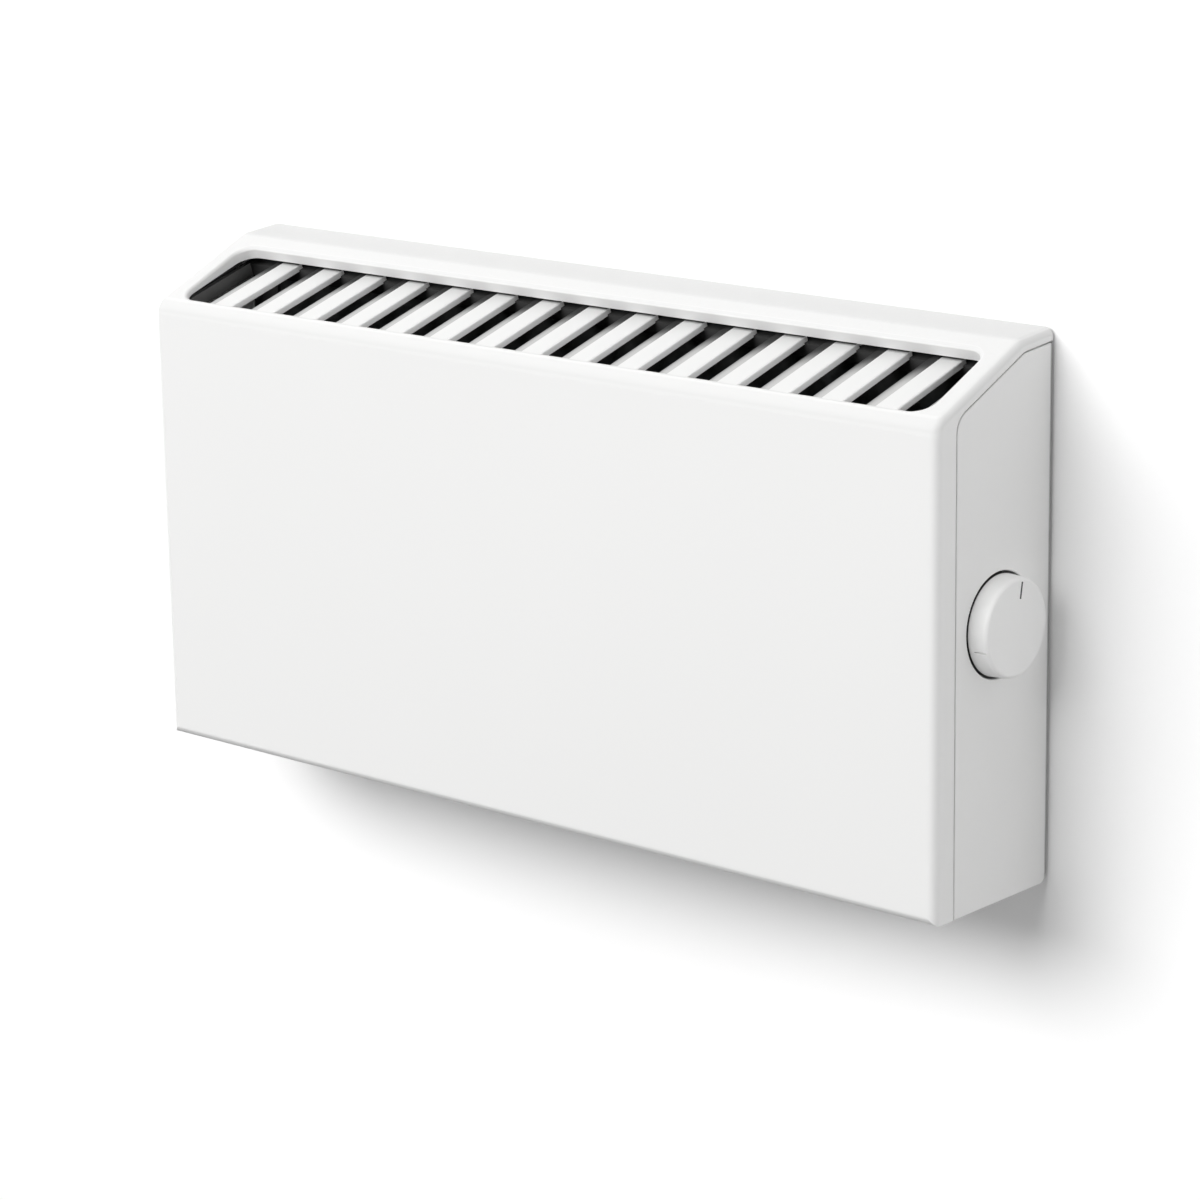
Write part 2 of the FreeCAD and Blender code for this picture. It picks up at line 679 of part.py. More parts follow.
def bottom_panel():
    body = new_body("bottom_panel")
    half = "dims.inner_x - dims.seam_gap"
    tucked = "dims.inner_x - dims.tuck_wall - dims.fold_clearance"
    block(body, "Pad", "XY_Plane", "dims.bottom", "dims.shell",
          rectangle(f"-({half})", half, "dims.seam_y + dims.seam_gap", "dims.rear_y", "1"))
    block(body, "Pad", "XY_Plane", "dims.bottom + dims.shell", "dims.shell",
          rectangle(f"-({tucked})", tucked, "dims.seam_y - dims.tuck", "dims.seam_y + dims.tuck", "2"))
    block(body, "Pad", "XZ_Plane", "-dims.inner_back", "dims.shell",
          rectangle(f"-({tucked})", tucked, "dims.bottom + dims.shell / 2",
                    "dims.bottom + dims.shell + dims.low_flange"))
    middle = "(dims.seam_y + dims.tuck + dims.inner_back - dims.shell) / 2"
    first = "-dims.inlet_pitch * (dims.inlet_count - 1) / 2"
    slot = block(body, "Pocket", "XY_Plane", "dims.bottom - 1", "dims.shell + 2",
                 rectangle(f"{first} - dims.inlet_slot / 2", f"{first} + dims.inlet_slot / 2",
                           f"{middle} - dims.inlet_length / 2", f"{middle} + dims.inlet_length / 2",
                           "dims.inlet_slot * 0.48"), reverse=True)
    repeat(body, slot, "dims.inlet_pitch", "dims.inlet_count")
    drill(body, "XY_Plane", "dims.bottom", "3 * dims.shell",
          [(f"{side} * dims.cover_screw_x", "dims.cover_screw_y",
            "dims.screw_radius + dims.screw_clearance") for side in (-1, 1)], reverse=True)
    drill(body, "XZ_Plane", "-dims.inner_back - 1", "dims.shell + 2",
          [(f"{side} * dims.low_screw_x", "dims.low_screw_z", "dims.screw_radius + dims.screw_clearance")
           for side in (-1, 1)], reverse=True)


def hook_seat(level):
    """Height at which the back panel hangs on a hook."""
    return f"({level} * dims.hook_step / 2 + dims.hook_height)"


def back_panel():
    body = new_body("back_panel")
    sketch = new_sketch(body, "XZ_Plane", "-dims.back_y")
    draw_outline(sketch, rectangle("-dims.back_half", "dims.back_half", "dims.back_bottom",
                                   "dims.back_top", "2"))
    through = "dims.screw_radius + dims.screw_clearance"
    for side in (-1, 1):
        for level in (-1, 1):
            draw_circle(sketch, f"{side} * dims.side_screw_x", f"{level} * dims.side_screw_z", through)
            left = f"{side} * (dims.bracket_half - dims.bracket_sheet / 2) - dims.bracket_sheet / 2"
            seat = hook_seat(level)
            draw_outline(sketch, rectangle(f"{left} - dims.fold_clearance",
                                           f"{left} + dims.bracket_sheet + dims.fold_clearance",
                                           f"{seat} - dims.hook_height - dims.hook_tip - 2", seat))
        draw_circle(sketch, f"{side} * dims.low_screw_x", "dims.low_screw_z", through)
    for x, z in inner_screw_spots():
        draw_circle(sketch, x, z, through)
    for side in (-1, 1):
        draw_circle(sketch, f"dims.terminal_x + {side} * dims.terminal_pitch / 2", "dims.terminal_z",
                    "dims.small_screw_radius + dims.screw_clearance")
    draw_circle(sketch, "dims.terminal_x", "dims.grommet_z", "dims.grommet_radius")
    draw_circle(sketch, "dims.earth_x", "dims.earth_z", through)
    extrude(body, "Pad", sketch, "dims.sheet")
    fold = "dims.back_half - 4"
    block(body, "Pad", "XZ_Plane", "-dims.back_y", "dims.back_fold",
          rectangle(f"-({fold})", fold, "dims.back_top - dims.sheet", "dims.back_top"))
    bead_half = {-1: "dims.bracket_half - dims.bead_width", 1: "dims.back_half * 0.8"}
    for level, half in bead_half.items():
        low = f"{level} * dims.bead_level - dims.bead_width / 2"
        high = f"{level} * dims.bead_level + dims.bead_width / 2"
        block(body, "Pad", "XZ_Plane", "-dims.back_y", "dims.bead_height",
              rectangle(f"-({half})", half, low, high, "dims.bead_width * 0.48"), reverse=True)
    crest = value("dims.back_y + dims.bead_height")
    round_edges(body, "dims.bead_height * 0.9", lambda edge: all_at(edge, span_y, crest))
    for level, half in bead_half.items():
        inner = f"{half} - dims.sheet"
        low = f"{level} * dims.bead_level - dims.bead_width / 2 + dims.sheet"
        high = f"{level} * dims.bead_level + dims.bead_width / 2 - dims.sheet"
        block(body, "Pocket", "XZ_Plane", "-dims.inner_back", "dims.bead_height",
              rectangle(f"-({inner})", inner, low, high, "dims.bead_width * 0.48 - dims.sheet"))


def wall_bracket():
    body = new_body("wall_bracket")
    sketch = new_sketch(body, "XZ_Plane", "0")
    draw_outline(sketch, rectangle("-dims.bracket_half", "dims.bracket_half", "-dims.bracket_rise",
                                   "dims.bracket_rise"))
    for side in (-1, 1):
        for level in (-1, 1):
            draw_circle(sketch, f"{side} * dims.wall_screw_x / 2", f"{level} * dims.wall_screw_z / 2",
                        "dims.wall_hole_radius")
    draw_outline(sketch, rectangle("-dims.wall_screw_x * 0.38", "dims.wall_screw_x * 0.38",
                                   "-dims.wall_screw_z * 0.4", "dims.wall_screw_z * 0.4", "6"))
    extrude(body, "Pad", sketch, "dims.bracket_sheet")
    edge = "dims.back_y + dims.fold_clearance"
    notch = "dims.inner_back - dims.fold_clearance"
    tip = f"{notch} - dims.hook_reach"
    flank = [("0", "-dims.bracket_rise"), (edge, "-dims.bracket_rise")]
    for level in (-1, 1):
        seat = hook_seat(level)
        flank += [
            (edge, f"{seat} - dims.hook_height"),
            (tip, f"{seat} - dims.hook_height"),
            (tip, f"{seat} + dims.hook_tip"),
            (notch, f"{seat} + dims.hook_tip"),
            (notch, seat),
            (edge, seat),
        ]
    flank += [(edge, "dims.bracket_rise"), ("0", "dims.bracket_rise")]
    for side in (-1, 1):
        block(body, "Pad", "YZ_Plane", f"{side} * dims.bracket_half", "dims.bracket_sheet", flank,
              reverse=side > 0)


def wall_spacers():
    """Two feet at the lower rear that keep the heater upright against the wall."""
    places = [f"{side} * dims.spacer_x" for side in (-1, 1)]
    feet = []
    for x in places:
        foot = Part.makeCylinder(value("dims.spacer_radius"), value("dims.standoff"),
                                 spot(x, "dims.back_y", "dims.bottom + dims.spacer_rise"), V(0, 1, 0))
        feet.append(foot.makeChamfer(1, foot.Edges[:1]))
    feature("wall_spacers", Part.makeCompound(feet))


def feature(name, shape):
    """Piece whose shape is worked out in code from the sheet's sizes."""
    item = doc.addObject("Part::Feature", name)
    item.Label = name
    item.Shape = shape
    item.Placement = FreeCAD.Placement()
    pieces.append(item)


def screw(place, axis, radius, head, length):
    """Pan-head screw with a cross recess: place is under the head, axis points from the head to the tip."""
    height = value("dims.screw_head_height")
    outward = axis * -1
    cap = Part.makeCylinder(head, height, place, outward)
    circles = [edge for edge in cap.Edges if len(edge.Vertexes) == 1]
    rim = [edge for edge in circles if near((edge.CenterOfMass - place).dot(outward), height)]
    cap = cap.makeFillet(height * 0.5, rim)
    shank = Part.makeCylinder(radius, length, place, axis)
    turn = FreeCAD.Rotation(V(0, 0, 1), outward)
    body = cap.fuse(shank)
    for wide, narrow in ((head, head * 0.28), (head * 0.28, head)):
        recess = Part.makeBox(wide, narrow, height)
        recess.translate(V(-wide / 2, -narrow / 2, height * 0.45))
        recess.Placement = FreeCAD.Placement(place, turn).multiply(recess.Placement)
        body = body.cut(recess)
    return body.removeSplitter()


def screw_group(name, places, axis, length, radius="dims.screw_radius", head="dims.screw_head"):
    """Like screws that share one axis."""
    screws = [screw(place, axis, value(radius), value(head), value(length)) for place in places]
    feature(name, Part.makeCompound(screws) if len(screws) > 1 else screws[0])


def heat_shield():
    body = new_body("heat_shield")
    left, right = "dims.element_left + 2", "dims.element_right - 2"
    sketch = new_sketch(body, "XZ_Plane", "-dims.shield_y")
    draw_outline(sketch, rectangle(left, right, "dims.shield_bottom", "dims.shield_top", "4"))
    for side in (-1, 1):
        draw_circle(sketch, f"dims.cutout_x + {side} * dims.cutout_screw", "dims.cutout_z",
                    "dims.small_screw_radius + dims.screw_clearance")
    extrude(body, "Pad", sketch, "dims.sheet")
    block(body, "Pad", "XZ_Plane", "-dims.shield_y", "dims.shield_fold",
          rectangle(f"{left} + 6", f"{right} - 6", "dims.shield_top - dims.sheet", "dims.shield_top"))
    across = (f"{left} + 4 * dims.shield_post", f"{right} - 4 * dims.shield_post")
    upright = ("dims.shield_bottom + 3 * dims.shield_post", "dims.shield_top - 3 * dims.shield_post")
    spots = [(x, z, "dims.shield_post") for x in across for z in upright]
    drill(body, "XZ_Plane", "-dims.shield_y", "dims.shield_gap", spots, reverse=True, kind="Pad")


def heating_element():
    """Cast aluminium body: a core with four slotted arms in an X."""
    body = new_body("heating_element")
    length = "dims.element_right - dims.element_left"
    sketch = new_sketch(body, "YZ_Plane", "dims.element_left")
    draw_circle(sketch, "dims.element_y", "dims.element_z", "dims.element_core")
    extrude(body, "Pad", sketch, length)
    for side in (-1, 1):
        along = (f"{side} * sin(dims.element_spread)", "cos(dims.element_spread)")
        across = ("cos(dims.element_spread)", f"{-side} * sin(dims.element_spread)")
        corners = []
        for reach, width in ((-1, -1), (1, -1), (1, 1), (-1, 1)):
            corners.append(tuple(
                f"dims.element_{axis} + {reach} * dims.element_arm * {along[i]}"
                f" + {width} * dims.element_fin / 2 * {across[i]}" for i, axis in enumerate("yz")))
        block(body, "Pad", "YZ_Plane", "dims.element_left", length, corners)
    pitch = f"(({length}) / dims.element_slots)"
    start = f"(dims.element_left + {pitch} / 2 - dims.element_slot / 2)"
    high = "dims.element_arm * cos(dims.element_spread) + dims.element_fin"
    sketch = new_sketch(body, "XZ_Plane", "-dims.element_y")
    for side in (-1, 1):
        ends = [f"dims.element_z + {side} * dims.element_core * 1.4", f"dims.element_z + {side} * ({high})"]
        if side < 0:
            ends.reverse()
        draw_outline(sketch, rectangle(start, f"{start} + dims.element_slot", *ends))
    slot = extrude(body, "Pocket", sketch, "2 * dims.element_arm", symmetric=True)
    repeat(body, slot, pitch, "dims.element_slots")
    drill(body, "YZ_Plane", "dims.element_left - 1", f"{length} + 2",
          [("dims.element_y", "dims.element_z", "dims.sheath_radius + dims.shaft_fit")], reverse=True)


def rod(name, start, end, radius, y, z, bore=None):
    """Round rod or tube along X."""
    body = new_body(name)
    sketch = new_sketch(body, "YZ_Plane", start)
    draw_circle(sketch, y, z, radius)
    if bore:
        draw_circle(sketch, y, z, bore)
    extrude(body, "Pad", sketch, f"({end}) - ({start})")
    return body


def element_fittings():
    """Sheath through the element, a bushing and a terminal pin at each end, and the two supports."""
    middle = ("dims.element_y", "dims.element_z")
    rod("element_sheath", "dims.sheath_left", "dims.sheath_right", "dims.sheath_radius", *middle)
    for side, sign in (("left", -1), ("right", 1)):
        web = f"dims.support_{side} + {sign} * dims.support_sheet / 2"
        rod(f"element_bushing_{side}", f"{web} - dims.bushing_length / 2",
            f"{web} + dims.bushing_length / 2", "dims.bushing_radius", *middle,
            bore="dims.sheath_radius + dims.shaft_fit")
        tip = f"dims.sheath_{side}"
        ends = (tip, f"{tip} + dims.pin_length") if sign > 0 else (f"{tip} - dims.pin_length", tip)
        rod(f"element_pin_{side}", *ends, "dims.pin_radius", *middle)
        support(f"element_support_{side}", f"dims.support_{side}", sign)


def support(name, web, sign):
    """Bent sheet support: a web with the bushing's hole and a foot on the back panel."""
    body = new_body(name)
    low = "dims.element_z - dims.support_height / 2"
    high = "dims.element_z + dims.support_height / 2"
    sketch = new_sketch(body, "YZ_Plane", web)
    draw_outline(sketch, rectangle("dims.element_y - 2 * dims.bushing_radius", "dims.inner_back",
                                   low, high))
    draw_circle(sketch, "dims.element_y", "dims.element_z", "dims.bushing_radius + dims.shaft_fit")
    extrude(body, "Pad", sketch, "dims.support_sheet", reverse=sign < 0)
    block(body, "Pad", "YZ_Plane", web, "dims.support_foot",
          rectangle("dims.inner_back - dims.support_sheet", "dims.inner_back", low, high), reverse=sign < 0)
    drill(body, "XZ_Plane", "-dims.inner_back - 1", "dims.support_sheet + 2",
          [(f"{web} + {sign} * dims.support_foot * 0.6", f"dims.element_z + {level} * dims.foot_screw_z",
            "dims.screw_radius + dims.screw_clearance") for level in (-1, 1)], reverse=True)


def inner_screw_spots():
    """Places (x, z) where supports are screwed to the back panel from behind."""
    spots = []
    for side, sign in (("left", -1), ("right", 1)):
        for level in (-1, 1):
            spots.append((f"dims.support_{side} + {sign} * dims.support_foot * 0.6",
                          f"dims.element_z + {level} * dims.foot_screw_z"))
    for level in (-1, 1):
        spots.append(("dims.thermostat_x - dims.support_foot * 0.6",
                      f"dims.knob_z + {level} * dims.thermostat_foot_screw"))
    return spots


def thermostat():
    body = new_body("thermostat_body")
    half = "dims.thermostat_half"
    block(body, "Pad", "YZ_Plane", "dims.thermostat_end", "dims.thermostat_length",
          rectangle(f"dims.knob_y - {half}", f"dims.knob_y + {half}", f"dims.knob_z - {half}",
                    f"dims.knob_z + {half}", "2"))
    drill(body, "YZ_Plane", "dims.thermostat_x", "dims.collar_length",
          [("dims.knob_y", "dims.knob_z", "dims.collar_radius")], kind="Pad")
    drill(body, "YZ_Plane", "dims.thermostat_x + dims.collar_length",
          "dims.collar_length + dims.shaft_in_body",
          [("dims.knob_y", "dims.knob_z", "dims.shaft_radius + dims.shaft_fit")])
    drill(body, "YZ_Plane", "dims.thermostat_x", "dims.thermostat_screw_length",
          [("dims.knob_y", f"dims.knob_z + {level} * dims.thermostat_screw",
            "dims.small_screw_radius + dims.screw_clearance") for level in (-1, 1)])

    body = new_body("thermostat_bracket")
    low, high = f"dims.knob_z - 1.35 * {half}", f"dims.knob_z + 1.35 * {half}"
    sketch = new_sketch(body, "YZ_Plane", "dims.thermostat_x")
    draw_outline(sketch, rectangle(f"dims.knob_y - {half}", "dims.inner_back", low, high))
    draw_circle(sketch, "dims.knob_y", "dims.knob_z", "dims.collar_radius + dims.shaft_fit")
    for level in (-1, 1):
        draw_circle(sketch, "dims.knob_y", f"dims.knob_z + {level} * dims.thermostat_screw",
                    "dims.small_screw_radius + dims.screw_clearance")
    extrude(body, "Pad", sketch, "dims.support_sheet")
    block(body, "Pad", "YZ_Plane", "dims.thermostat_x", "dims.support_foot",
          rectangle("dims.inner_back - dims.support_sheet", "dims.inner_back", low, high), reverse=True)
    drill(body, "XZ_Plane", "-dims.inner_back - 1", "dims.support_sheet + 2",
          [("dims.thermostat_x - dims.support_foot * 0.6",
            f"dims.knob_z + {level} * dims.thermostat_foot_screw",
            "dims.screw_radius + dims.screw_clearance") for level in (-1, 1)], reverse=True)

    for number, side in (("feed", -1), ("switched", 1)):
        body = new_body(f"thermostat_tab_{number}")
        middle = f"(dims.knob_y + {side} * dims.tab_spacing / 2)"
        block(body, "Pad", "YZ_Plane", "dims.tab_end", "dims.tab_length",
              rectangle(f"{middle} - dims.tab_sheet / 2", f"{middle} + dims.tab_sheet / 2",
                        "dims.knob_z - dims.tab_width / 2", "dims.knob_z + dims.tab_width / 2"))

    body = rod("thermostat_shaft", "dims.shaft_start", "dims.shaft_end", "dims.shaft_radius", "dims.knob_y",
               "dims.knob_z")
    block(body, "Pocket", "YZ_Plane", "dims.shaft_end + 1", "dims.shaft_in_knob + 1",
          rectangle("dims.knob_y - 2 * dims.shaft_radius", "dims.knob_y + 2 * dims.shaft_radius",
                    "dims.knob_z - 2 * dims.shaft_radius",
                    "dims.knob_z - dims.shaft_radius + dims.shaft_flat"))


def control_knob():
    body = new_body("control_knob")
    middle = ("dims.knob_y", "dims.knob_z")
    barrel = drill(body, "YZ_Plane", "dims.knob_back", "dims.knob_face - dims.knob_back",
                   [middle + ("dims.knob_radius",)], kind="Pad")
    barrel.setExpression("TaperAngle", "-dims.knob_draft * 1 deg")
    doc.recompute()
    face = value("dims.knob_face")
    round_edges(body, "dims.knob_edge", lambda edge: all_at(edge, span_x, face))
    sketch = new_sketch(body, "YZ_Plane", "dims.knob_back")
    draw_circle(sketch, *middle, "dims.knob_radius - dims.knob_wall")
    draw_circle(sketch, *middle, "dims.hub_radius")
    extrude(body, "Pocket", sketch, "dims.knob_face - dims.knob_back - dims.knob_wall", reverse=True)
    sketch = new_sketch(body, "YZ_Plane", "dims.knob_back")
    draw_circle(sketch, *middle, "dims.shaft_radius")
    extrude(body, "Pocket", sketch, "dims.shaft_in_knob", reverse=True)
    flat = "dims.knob_z - dims.shaft_radius + dims.shaft_flat"
    key_half = "dims.shaft_radius * 0.9"
    block(body, "Pad", "YZ_Plane", "dims.knob_back", "dims.shaft_in_knob + 0.5",
          rectangle(f"dims.knob_y - {key_half}", f"dims.knob_y + {key_half}",
                    f"{flat} - 2", f"{flat} - dims.shaft_fit"))
    block(body, "Pocket", "YZ_Plane", "dims.knob_face - dims.index_depth", "dims.index_depth + 1",
          index_outline(), reverse=True)
    block(body, "Pocket", "YZ_Plane", "dims.knob_face - dims.knob_edge / 2", "dims.rim_mark_length",
          turned_outline("(90 - dims.rim_mark_angle)", "dims.knob_radius - dims.rim_mark_depth",
                         "dims.knob_radius + 1", "dims.rim_mark_width"))
    body = new_body("knob_index")
    block(body, "Pad", "YZ_Plane", "dims.knob_face - dims.index_depth", "dims.index_depth", index_outline())


def turned_outline(angle, near_end, far_end, width):
    """Bar that points away from the knob's axis, turned clockwise from upright."""
    corners = []
    for reach, side in ((near_end, -0.5), (far_end, -0.5), (far_end, 0.5), (near_end, 0.5)):
        across = f"{side} * {width}"
        corners.append((f"dims.knob_y + ({reach}) * sin({angle}) + {across} * cos({angle})",
                        f"dims.knob_z + ({reach}) * cos({angle}) - {across} * sin({angle})"))
    return corners


def index_outline():
    """Index line on the knob's face, a little past the top in the rest position."""
    far_end = "dims.knob_radius - dims.index_inset"
    return turned_outline("dims.index_angle", f"{far_end} - dims.index_length", far_end, "dims.index_width")


def route(points, radius, bend):
    """Round wire along straight runs with rounded bends."""
    edges = []
    last = points[0]
    for i in range(1, len(points) - 1):
        before = (points[i - 1] - points[i]).normalize()
        after = (points[i + 1] - points[i]).normalize()
        half = before.getAngle(after) / 2
        reach = min(bend / math.tan(half), 0.45 * (points[i + 1] - points[i]).Length,
                    0.45 * (points[i - 1] - points[i]).Length)
        start, end = points[i] + before * reach, points[i] + after * reach
        inward = (before + after).normalize()
        true_bend = reach * math.tan(half)
        middle = points[i] + inward * (true_bend / math.sin(half) - true_bend)
        edges.append(Part.makeLine(last, start))
        edges.append(Part.Arc(start, middle, end).toShape())
        last = end
    edges.append(Part.makeLine(last, points[-1]))
    first = (points[1] - points[0]).normalize()
    profile = Part.Wire(Part.makeCircle(radius, points[0], first))
    return Part.Wire(edges).makePipeShell([profile], True, True)


def sensor():
    """Capillary from the thermostat to the bulb that lies over the air inlet, and the bulb's clip."""
    bulb_start = "dims.bulb_end - dims.bulb_length"
    bulb = Part.makeCylinder(value("dims.bulb_radius"), value("dims.bulb_length"),
                             spot(bulb_start, "dims.bulb_y", "dims.bulb_z"), V(1, 0, 0))
    drop_x = "dims.thermostat_end + dims.wire_lead"
    points = [
        spot(drop_x, "dims.knob_y", "dims.knob_z - dims.thermostat_half"),
        spot(drop_x, "dims.knob_y", "dims.knob_z - dims.thermostat_half - 2 * dims.wire_lead"),
        spot(drop_x, "dims.bulb_y - dims.wire_lead", "dims.bulb_z + 2 * dims.wire_lead"),
        spot(drop_x, "dims.bulb_y", "dims.bulb_z"),
        spot("dims.bulb_end - 2", "dims.bulb_y", "dims.bulb_z"),
    ]
    line = route(points, value("dims.capillary_radius"), value("dims.wire_bend"))
    feature("thermostat_sensor", bulb.fuse(line).removeSplitter())
    body = new_body("sensor_clip")
    width = "(dims.inlet_pitch - dims.inlet_slot) * 0.8"
    sketch = new_sketch(body, "YZ_Plane", f"dims.clip_x - {width} / 2")
    reach = "dims.bulb_radius + dims.clip_wall"
    draw_outline(sketch, rectangle(f"dims.bulb_y - ({reach})", f"dims.bulb_y + {reach}",
                                   "dims.bottom + dims.shell", f"dims.bulb_z + {reach}", "dims.clip_wall"))
    draw_circle(sketch, "dims.bulb_y", "dims.bulb_z", "dims.bulb_radius + dims.shaft_fit")
    extrude(body, "Pad", sketch, width)


def cutout():
    """Bimetal cut-out on the heat shield, with two tabs."""
    body = new_body("thermal_cutout")
    seat = "-dims.shield_y + dims.sheet"
    reach = "dims.cutout_screw + 4"
    sketch = new_sketch(body, "XZ_Plane", seat)
    draw_outline(sketch, rectangle(f"dims.cutout_x - ({reach})", f"dims.cutout_x + {reach}",
                                   "dims.cutout_z - 5", "dims.cutout_z + 5", "4"))
    for side in (-1, 1):
        draw_circle(sketch, f"dims.cutout_x + {side} * dims.cutout_screw", "dims.cutout_z",
                    "dims.small_screw_radius + dims.screw_clearance")
    extrude(body, "Pad", sketch, "dims.cutout_flange")
    drill(body, "XZ_Plane", seat, "dims.cutout_length",
          [("dims.cutout_x", "dims.cutout_z", "dims.cutout_radius")], kind="Pad")
    for name, side in (("left", -1), ("right", 1)):
        body = new_body(f"cutout_tab_{name}")
        middle = f"(dims.cutout_x + {side} * dims.cutout_radius / 2)"
        block(body, "Pad", "XZ_Plane", "-dims.cutout_front", "dims.tab_length",
              rectangle(f"{middle} - dims.tab_sheet / 2", f"{middle} + dims.tab_sheet / 2",
                        "dims.cutout_z - dims.tab_width / 2", "dims.cutout_z + dims.tab_width / 2"))


def terminals():
    """Three-pole terminal block, its clamp screws, and the grommet in the cable inlet below it."""
    body = new_body("terminal_block")
    left = "dims.terminal_x - dims.terminal_width / 2"
    right = "dims.terminal_x + dims.terminal_width / 2"
    low = "dims.terminal_z - dims.terminal_height / 2"
    block(body, "Pad", "XZ_Plane", "-dims.inner_back", "dims.terminal_depth",
          rectangle(left, right, low, "dims.terminal_top", "1.5"))
    poles = [f"dims.terminal_x + {pole} * dims.terminal_pitch" for pole in (-1, 0, 1)]
    wire_y = "dims.inner_back - dims.terminal_depth * 0.4"
    drill(body, "XY_Plane", f"{low} - 1", "dims.terminal_height + 2",
          [(x, wire_y, "dims.wire_radius + dims.screw_clearance") for x in poles], reverse=True)
    drill(body, "XZ_Plane", "-dims.terminal_front", "dims.terminal_depth * 0.35",
          [(x, "dims.terminal_z", "dims.clamp_radius + dims.screw_clearance") for x in poles])
    drill(body, "XZ_Plane", "-dims.terminal_front", "dims.terminal_depth + 1",
          [(f"dims.terminal_x + {side} * dims.terminal_pitch / 2", "dims.terminal_z",
            "dims.small_screw_radius + dims.screw_clearance") for side in (-1, 1)])
    clamps = []
    for x in poles:
        length = value("dims.terminal_depth * 0.35")
        clamp = Part.makeCylinder(value("dims.clamp_radius"), length,
                                  spot(x, "dims.terminal_front", "dims.terminal_z"), V(0, 1, 0))
        corner = spot(f"{x} - dims.clamp_radius", "dims.terminal_front", "dims.terminal_z - 0.4")
        slot = Part.makeBox(value("2 * dims.clamp_radius"), 0.8, 0.8, corner)
        clamps.append(clamp.cut(slot))
    feature("terminal_clamps", Part.makeCompound(clamps))

    body = new_body("cable_grommet")
    inlet = ("dims.terminal_x", "dims.grommet_z")
    rim = "dims.grommet_radius + dims.grommet_rim"
    drill(body, "XZ_Plane", "-dims.back_y - 2", "4 + dims.sheet", [inlet + ("dims.grommet_radius",)],
          kind="Pad")
    drill(body, "XZ_Plane", "-dims.back_y - 2", "2", [inlet + (rim,)], kind="Pad")
    drill(body, "XZ_Plane", "-dims.inner_back", "2", [inlet + (rim,)], kind="Pad")
    drill(body, "XZ_Plane", "-dims.back_y - 3", "6 + dims.sheet", [inlet + ("dims.inlet_radius",)],
          reverse=True)


def wiring():
    """Wires from the terminals through thermostat and cut-out to the element and back, and the earth."""
    wire_y = "dims.inner_back - dims.terminal_depth * 0.4"
    radius, bend = value("dims.wire_radius"), value("dims.wire_bend")
    feed_y = "dims.knob_y - dims.tab_spacing / 2"
    switched_y = "dims.knob_y + dims.tab_spacing / 2"
    tab_tip = "dims.cutout_front - dims.tab_length"
    inside = "dims.terminal_top - dims.terminal_height * 0.3"
    feed_x = "dims.tab_end - dims.wire_lead"
    above = "dims.terminal_top + 1.4 * dims.wire_lead"
    neutral_x = "dims.terminal_x - dims.terminal_pitch"
    earth_x = "dims.terminal_x + dims.terminal_pitch"
    earth_y = "dims.inner_back - dims.screw_head_height - dims.wire_radius"
    tab_right = "dims.cutout_x + dims.cutout_radius / 2"
    tab_left = "dims.cutout_x - dims.cutout_radius / 2"
    bow = f"{tab_tip} - dims.wire_lead"
    over = "dims.cutout_z + 1.4 * dims.wire_lead"
    under = "dims.cutout_z - 1.6 * dims.wire_lead"
    pin_right = "dims.sheath_right + dims.pin_length"
    pin_left = "dims.sheath_left - dims.pin_length"
    bay_x = f"{pin_right} + dims.wire_lead / 2"
    far_x = f"{pin_left} - dims.wire_lead / 2"
    ridge = "dims.shield_top + 1.2 * dims.wire_lead"
    down_x = "dims.thermostat_end - 2 * dims.wire_lead"
    routes = {
        "wire_feed": [
            ("dims.terminal_x", wire_y, inside),
            ("dims.terminal_x", wire_y, above),
            (feed_x, feed_y, "dims.knob_z - 2.2 * dims.wire_lead"),
            (feed_x, feed_y, "dims.knob_z"),
            ("dims.tab_end", feed_y, "dims.knob_z"),
        ],
        "wire_switched": [
            ("dims.tab_end", switched_y, "dims.knob_z"),
            (feed_x, switched_y, "dims.knob_z"),
            ("dims.tab_end - 2.4 * dims.wire_lead", bow, over),
            (tab_right, bow, over),
            (tab_right, bow, "dims.cutout_z"),
            (tab_right, tab_tip, "dims.cutout_z"),
        ],
        "wire_element": [
            (tab_left, tab_tip, "dims.cutout_z"),
            (tab_left, bow, "dims.cutout_z"),
            (tab_left, bow, under),
            (bay_x, bow, under),
            (bay_x, "dims.element_y", "dims.element_z + 1.6 * dims.wire_lead"),
            (bay_x, "dims.element_y", "dims.element_z"),
            (pin_right, "dims.element_y", "dims.element_z"),
        ],
        "wire_neutral": [
            (pin_left, "dims.element_y", "dims.element_z"),
            (far_x, "dims.element_y", "dims.element_z"),
            (far_x, wire_y, "dims.element_z + 3 * dims.wire_lead"),
            (far_x, wire_y, ridge),
            (down_x, wire_y, ridge),
            (down_x, wire_y, "dims.terminal_top + 2.2 * dims.wire_lead"),
            (neutral_x, wire_y, above),
            (neutral_x, wire_y, inside),
        ],
        "wire_earth": [
            (earth_x, wire_y, inside),
            (earth_x, wire_y, "dims.terminal_top + 1.8 * dims.wire_lead"),
            ("dims.earth_x", earth_y, "dims.earth_z + dims.wire_lead"),
            ("dims.earth_x", earth_y, "dims.earth_z"),
        ],
    }
    for name, corners in routes.items():
        feature(name, route([spot(*corner) for corner in corners], radius, bend))


